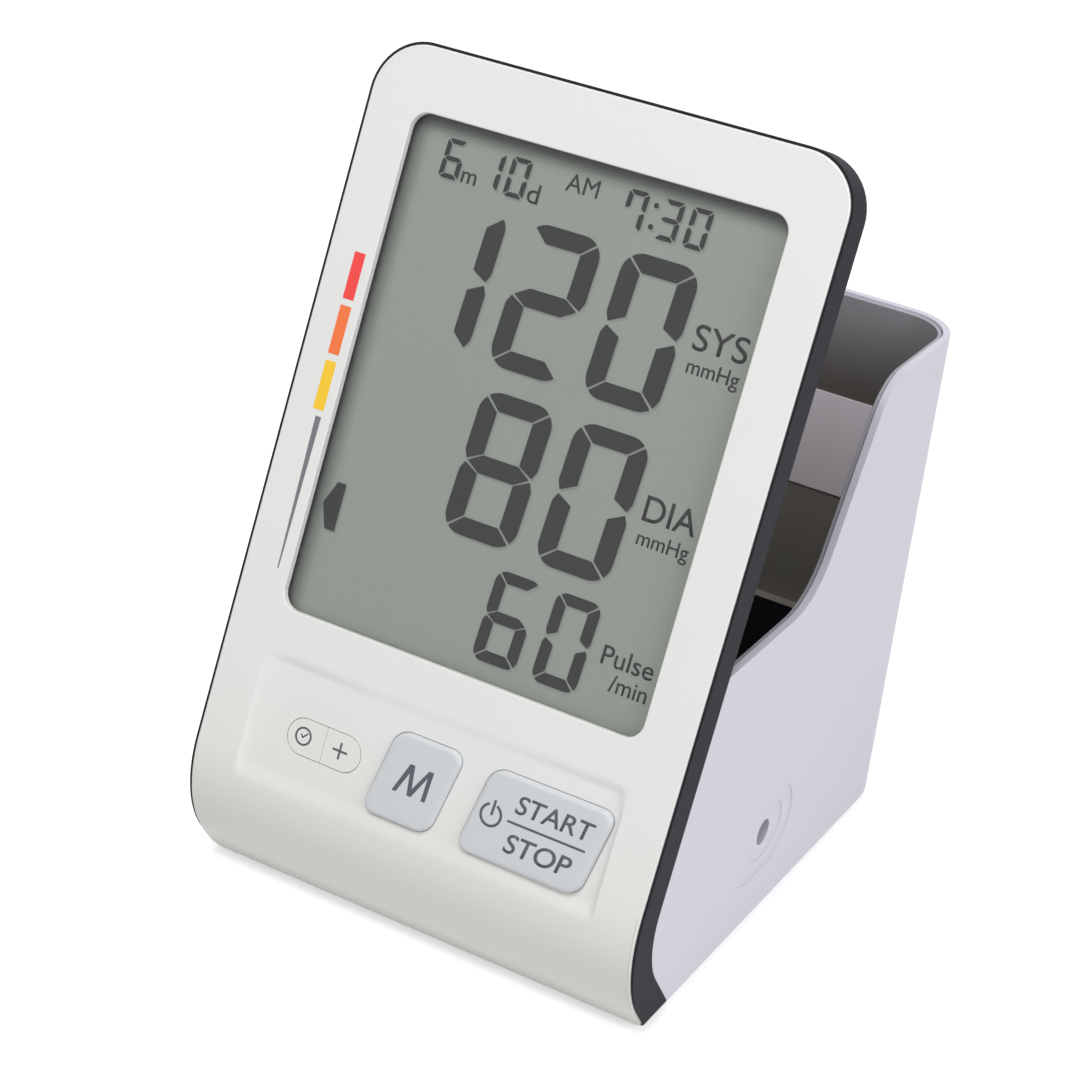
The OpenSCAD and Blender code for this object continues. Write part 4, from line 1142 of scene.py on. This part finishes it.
@dataclass(frozen=True)
class FigureStyle:
    """Shape of one size of seven-bar figure. Sizes are in millimetres."""

    width: float
    height: float
    upright: float
    level: float
    corner: float
    gap: float
    slant: float = 0.043
    mitre: float = 0.7
    foot: Point = (0.2, 0.55)
    foot_rise: float = 0.006
    foot_gap: float = 0.6
    tip: Point = (0.3, 0.2)

    def outline(self, bar: Bar) -> list[Point]:
        """Gives the outline of one bar.

        Args:
            bar: Which of the seven bars.

        Returns:
            Its points, from the figure's lower left corner.
        """
        if bar is Bar.MIDDLE:
            points = self.middle()
        elif bar in (Bar.TOP, Bar.BOTTOM):
            points = self.top()
            if bar is Bar.BOTTOM:
                points = [(x, self.height - y) for x, y in points]
        else:
            points = self.left_high()
            if bar in (Bar.RIGHT_HIGH, Bar.RIGHT_LOW):
                points = [(self.width - x, y) for x, y in points]
            if bar in (Bar.LEFT_LOW, Bar.RIGHT_LOW):
                points = [(x, self.height - y) for x, y in points]
        return [(x + self.slant * y, y) for x, y in points]

    def top(self) -> list[Point]:
        """Gives the top bar, cut at both ends along the corners' diagonals.

        Returns:
            Its outline.
        """
        turn = math.degrees(self.gap * self.mitre / self.corner)
        low = self.height - self.level
        inner = self.upright + self.gap * self.mitre
        up = self.height - self.corner
        left = arc_points((self.corner, up), self.corner, 135 - turn, 90, 8)
        right = arc_points((self.width - self.corner, up), self.corner, 90, 45 + turn, 8)
        return left + right + [(self.width - inner, low), (inner, low)]

    def left_high(self) -> list[Point]:
        """Gives the upper left bar, cut along the corner's diagonal and towards the middle.

        Returns:
            Its outline.
        """
        turn = math.degrees(self.gap * self.mitre / self.corner)
        middle = self.height / 2
        outer = arc_points((self.corner, self.height - self.corner), self.corner, 135 + turn, 180, 8)
        foot = [(0.0, middle + self.level * self.foot[1]),
                (self.upright * self.foot[0], middle + self.gap / 2 + self.foot_rise * self.height)]
        inner = [(self.upright, middle + self.level / 2 + self.gap * self.foot_gap),
                 (self.upright, self.height - self.level - self.gap * self.mitre)]
        return outer + foot + inner

    def middle(self) -> list[Point]:
        """Gives the middle bar with its two points.

        Returns:
            Its outline.
        """
        middle, half = self.height / 2, self.level / 2
        tip = self.upright * self.tip[0]
        inner = self.upright + self.gap * self.tip[1]
        return [(tip, middle), (inner, middle + half), (self.width - inner, middle + half),
                (self.width - tip, middle), (self.width - inner, middle - half), (inner, middle - half)]

    def figures(self, text: str, places: list[float], up: float) -> list[list[Point]]:
        """Gives the outlines of a row of figures.

        Args:
            text: The figures.
            places: Left edge of each figure.
            up: Lower edge of the row.

        Returns:
            One outline for each bar.
        """
        found = []
        for figure, across in zip(text, places):
            for letter in FIGURES[figure]:
                found.append([(x + across, y + up) for x, y in self.outline(Bar(letter))])
        return found


@dataclass
class DisplayPrint:
    """All that the display shows, as thin solids on the liquid crystal cell. Sizes are in millimetres."""

    thickness: float = 0.06
    out: float = -2.67
    shadow_out: float = -2.70
    shadow_shift: Point = (0.42, -0.42)
    weight: float = 0.003
    dot_across: float = 13.3
    dots_up: Point = (159.45, 163.6)
    dot_radius: float = 0.55
    large: FigureStyle = FigureStyle(16.4, 29.23, 4.15, 3.7, 4.4, 0.36)
    pulse: FigureStyle = FigureStyle(9.95, 18.5, 2.5, 2.3, 2.4, 0.3)
    small: FigureStyle = FigureStyle(4.45, 7.87, 1.05, 0.95, 0.9, 0.22)

    def build(self) -> None:
        """Builds the figures and the pointer with their faint shadows, and the words."""
        rows = {
            "figures_systolic": self.large.figures("120", [-33.62, -12.53, 8.59], 125.04),
            "figures_diastolic": self.large.figures("80", [-12.53, 8.59], 91.15),
            "figures_pulse": self.pulse.figures("60", [1.43, 14.92], 68.96),
            "figures_date": self.small.figures("610", [-33.8, -24.9, -19.0], 157.3),
            "figures_time": self.small.figures("730", [6.8, 14.4, 20.5], 157.6) + self.colon(),
            "pointer": [[(-35.2, 92.95), (-37.2, 92.95), (-39.35, 88.05), (-37.55, 83.05), (-35.2, 83.05)]],
        }
        for name, outlines in rows.items():
            self.layer(flat_drawing(name, outlines, self.thickness), outlines)
        words = {
            "word_month": ("m", (-28.6, 157.4, -25.3, 159.65)),
            "word_day": ("d", (-13.7, 157.3, -11.1, 161.1)),
            "word_morning": ("AM", (-6.2, 161.6, 0.85, 165.1)),
            "word_systolic": ("SYS", (28.2, 139.6, 39.6, 144.7)),
            "unit_systolic": ("mmHg", (28.4, 134.1, 39.4, 138.0)),
            "word_diastolic": ("DIA", (28.2, 105.7, 39.4, 110.7)),
            "unit_diastolic": ("mmHg", (28.4, 100.0, 39.4, 103.9)),
            "word_pulse": ("Pulse", (28.2, 76.8, 39.4, 80.65)),
            "unit_pulse": ("/min", (31.3, 72.2, 39.4, 75.6)),
        }
        for name, (text, box) in words.items():
            weight = 0.0 if name == "word_morning" else self.weight
            self.layer(lettering(name, text, box, self.thickness, weight=weight), None)

    def colon(self) -> list[list[Point]]:
        """Gives the two dots between hours and minutes."""
        return [arc_points((self.dot_across, up), self.dot_radius, 0, 348, 16) for up in self.dots_up]

    def layer(self, piece: bpy.types.Object, outlines: list[list[Point]] | None) -> None:
        """Puts a print on the cell, and its shadow if it has outlines.

        Args:
            piece: The print, drawn in millimetres.
            outlines: Its outlines, or None for a word.
        """
        if outlines is not None:
            right, up = self.shadow_shift
            shifted = [[(x + right, y + up) for x, y in line] for line in outlines]
            shadow = flat_drawing(piece.name + "_shadow", shifted, self.thickness * 0.5)
            settle(shadow, HEAD.matrix(out=self.shadow_out))
            finished(shadow, LCD_SHADOW, BODY)
        settle(piece, HEAD.matrix(out=self.out))
        finished(piece, LCD_INK, BODY)


@dataclass
class FacePrint:
    """Print on the front cover and the keys, in millimetres, drawn in the head's axes."""

    thickness: float = 0.05
    scale_left: float = -45.91145
    scale_right: float = -43.382025
    signs_up: float = 41.71165
    clock_across: float = -28.73045
    clock_radius: float = 1.95
    clock_stroke: float = 0.42
    plus_across: float = -19.805875
    plus_arm: float = 1.75
    plus_half: float = 0.22
    power: Point = (16.28377, 41.57802)
    power_radius: float = 2.2
    power_stroke: float = 0.55
    power_gap: Point = (62.0, 118.0)
    small_lift: float = 0.015
    slant: float = 0.17
    weight: float = 0.01

    def build(self) -> None:
        """Builds the colour scale, the signs and the words on the keys."""
        bars = {
            "scale_red": (BAR_RED, 128.76205, 138.4025),
            "scale_orange": (BAR_ORANGE, 117.4035, 127.42575),
            "scale_yellow": (BAR_YELLOW, 105.85405, 115.97175),
        }
        left, right = self.scale_left, self.scale_right
        for name, (finish, low, high) in bars.items():
            self.put(name, [[(left, low), (right, low), (right, high), (left, high)]], finish, BODY)
        taper = [(-44.8615, 104.51775), (-44.241075, 72.542), (-43.954725, 72.542),
                 (-43.5252, 104.51775)]
        self.put("scale_taper", [taper], BAR_GREY, BODY)
        self.put("icon_clock", self.clock(), KEY_INK, "clock_press_key", self.small_top)
        self.put("icon_plus", self.plus(), KEY_INK, "plus_press_key", self.small_top)
        self.put("icon_power", self.power_sign(), KEY_INK, "start_stop_key", self.large_top)
        self.words()

    def put(self, name: str, outlines: list[list[Point]], finish: Finish, body: str,
            surface: Callable[[float, float], float] = lambda across, up: 0.0) -> None:
        """Puts one drawing on the head.

        Args:
            name: Name of the new piece.
            outlines: Its outlines in the head's axes.
            finish: Its ink.
            body: The body that carries it.
            surface: Gives the height of the surface under it, at a place across and up the slope.
        """
        piece = flat_drawing(name, outlines, self.thickness)
        for vertex in piece.data.vertices:
            vertex.co.z += surface(vertex.co.x, vertex.co.y)
        settle(piece, HEAD.matrix())
        finished(piece, finish, body)

    def clock(self) -> list[list[Point]]:
        """Draws the clock: a ring and two hands.

        Returns:
            Its outlines.
        """
        x, y = self.clock_across, self.signs_up
        rings = [arc_points((x, y), radius, 0, 352, 44)
                 for radius in (self.clock_radius, self.clock_radius - self.clock_stroke)]
        hands = [(-0.75, 0.3), (-0.45, 0.5), (-0.15, -0.05), (0.85, 0.95), (1.05, 0.72), (-0.15, -0.5)]
        return rings + [[(x + right, y + up) for right, up in hands]]

    def plus(self) -> list[list[Point]]:
        """Draws the plus sign, one quarter after the other.

        Returns:
            Its outline.
        """
        arm, half = self.plus_arm, self.plus_half
        cross, quarter = [], [(-arm, -half), (-half, -half), (-half, -arm)]
        for _ in range(4):
            cross += [(self.plus_across + right, self.signs_up + up) for right, up in quarter]
            quarter = [(-up, right) for right, up in quarter]
        return [cross]

    def power_sign(self) -> list[list[Point]]:
        """Draws the power sign: an open ring and a stem.

        Returns:
            Its outlines.
        """
        x, y = self.power
        ring = ring_stroke(self.power, self.power_radius, self.power_stroke, self.power_gap[1],
                           self.power_gap[0] + 360)
        return [ring, pen_line((x + 0.1, y + 0.2), (x + 0.25, y + 2.9), self.power_stroke)]

    def small_top(self, across: float, up: float) -> float:
        """Gives the height of the small keys' faces."""
        return POCKET.surface(across, up) + SmallKey.stand + self.small_lift

    def large_top(self, across: float, up: float) -> float:
        """Gives the height of the large keys' faces."""
        return HEAD.key_top + LargeKey.crown_rise

    def words(self) -> None:
        """Writes the words on the two large keys and the line between them."""
        items = {
            "word_start": ("START", (20.90355, 43.668375, 38.18, 47.5341)),
            "word_stop": ("STOP", (20.6172, 35.60285, 35.5074, 39.61175)),
        }
        for name, (text, box) in items.items():
            piece = lettering(name, text, box, self.thickness, shear=self.slant, weight=self.weight)
            settle(piece, HEAD.matrix(out=self.large_top(0.0, 0.0)))
            finished(piece, KEY_INK, "start_stop_key")
        letter = [(-5.85, 38.75), (-3.3, 45.05), (-2.2, 45.05), (-1.62, 40.35), (1.1, 45.05), (2.2, 45.05),
                  (1.85, 38.75), (0.95, 38.75), (1.15, 43.6), (-1.4, 38.75), (-2.35, 38.75), (-2.93, 43.2),
                  (-4.93, 38.75)]
        self.put("word_memory", [letter], KEY_INK, "memory_key", self.large_top)
        line = [(19.94905, 41.473025), (37.32095, 41.473025), (37.4164, 41.950275), (20.0445, 41.950275)]
        self.put("key_line", [line], KEY_INK, "start_stop_key", self.large_top)


# ---------------------------------------------------------------- studio


@dataclass(frozen=True)
class Studio:
    """Camera, floor, world and lamps. Places are in metres, angles in degrees."""

    place: tuple[float, float, float] = (0.2195, -0.4574, 0.3247)
    azimuth: float = 26.72
    elevation: float = 26.68
    roll: float = 6.77
    lens: float = 89.9
    floor_tone: Colour = (0.72, 0.72, 0.72)
    floor_glow: float = 0.6
    sky: float = 0.40

    def build(self) -> None:
        """Builds all of the studio."""
        self.camera()
        self.floor()
        self.world()
        self.lamps()
        settings = bpy.context.scene.view_settings
        settings.view_transform = "Standard"

    def camera(self) -> None:
        """Puts the camera at the photograph's viewpoint."""
        a, e, r = (math.radians(v) for v in (self.azimuth, self.elevation, self.roll))
        back = Vector((math.sin(a) * math.cos(e), -math.cos(a) * math.cos(e), math.sin(e)))
        right = Vector((math.cos(a), math.sin(a), 0.0))
        up = back.cross(right)
        across = right * math.cos(r) + up * math.sin(r)
        over = up * math.cos(r) - right * math.sin(r)
        data = bpy.data.cameras.new("camera")
        data.lens = self.lens
        data.sensor_width = 36.0
        data.sensor_fit = "HORIZONTAL"
        data.clip_start = 0.01
        data.clip_end = 20.0
        camera = bpy.data.objects.new("camera", data)
        bpy.context.scene.collection.objects.link(camera)
        rows = [[across[k], over[k], back[k], self.place[k]] for k in range(3)]
        camera.matrix_world = Matrix(rows + [[0.0, 0.0, 0.0, 1.0]])
        bpy.context.scene.camera = camera

    def floor(self) -> None:
        """Lays a plain pale floor that turns white for the camera and keeps the object's shadow."""
        bpy.ops.object.select_all(action="DESELECT")
        bpy.ops.mesh.primitive_plane_add(size=6.0, location=(0, 0, -0.0002))
        floor = bpy.context.object
        floor.name = "floor"
        material = bpy.data.materials.new("floor_pale")
        material.use_nodes = True
        tree = material.node_tree
        shader = tree.nodes["Principled BSDF"]
        glow = add_node(tree, "Math", {1: self.floor_glow}, operation="MULTIPLY")
        fill(shader, {"Base Color": (*self.floor_tone, 1.0), "Roughness": 0.9, "Specular IOR Level": 0.0,
                      "Emission Color": (1.0, 1.0, 1.0, 1.0)})
        join(tree, (any_ray(tree, *SEEN), glow.inputs[0]),
             (glow.outputs["Value"], shader.inputs["Emission Strength"]))
        dress(floor, material)

    def world(self) -> None:
        """Gives a plain soft world, white where it is seen."""
        world = bpy.data.worlds.new("studio")
        bpy.context.scene.world = world
        world.use_nodes = True
        tree = world.node_tree
        ground = tree.nodes["Background"]
        ground.inputs["Color"].default_value = (1.0, 1.0, 1.0, 1.0)
        level = add_node(tree, "MapRange", {"To Min": self.sky, "To Max": 1.0})
        join(tree, (any_ray(tree, *SEEN), level.inputs["Value"]),
             (level.outputs["Result"], ground.inputs["Strength"]))

    def lamps(self) -> None:
        """Hangs the large soft lamps."""
        self.lamp("key_lamp", (-0.03, -0.47, 1.08), 0.5, 6.4)
        self.lamp("side_lamp", (1.1, -0.35, 0.7), 0.7, 5.9)

    def lamp(self, name: str, place: tuple[float, float, float], size: float, watts: float) -> None:
        """Hangs one square lamp that faces the object.

        Args:
            name: Name of the lamp.
            place: Where it hangs.
            size: Its side.
            watts: Its power.
        """
        data = bpy.data.lights.new(name, "AREA")
        data.size = size
        data.energy = watts
        lamp = bpy.data.objects.new(name, data)
        bpy.context.scene.collection.objects.link(lamp)
        lamp.location = place
        aim = Vector((0.0, 0.0, 0.08)) - Vector(place)
        lamp.rotation_euler = aim.to_track_quat("-Z", "Y").to_euler()


# ---------------------------------------------------------------- the whole


def dress_nodes() -> None:
    """Gives every CAD node that stays its finish."""
    for node, finish in NODE_FINISHES.items():
        dress(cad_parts[node], finish.build())
        LOG.info("%s keeps its CAD shape", node)


def main() -> None:
    """Builds the studio and the pieces, in order."""
    logging.basicConfig(level=logging.INFO, format="%(message)s")
    Studio().build()
    dress_nodes()
    Shells().build()
    for key in KEYS:
        key.build()
    DisplayPrint().build()
    FacePrint().build()
    bpy.context.view_layer.update()


if __name__ == "__main__":
    main()
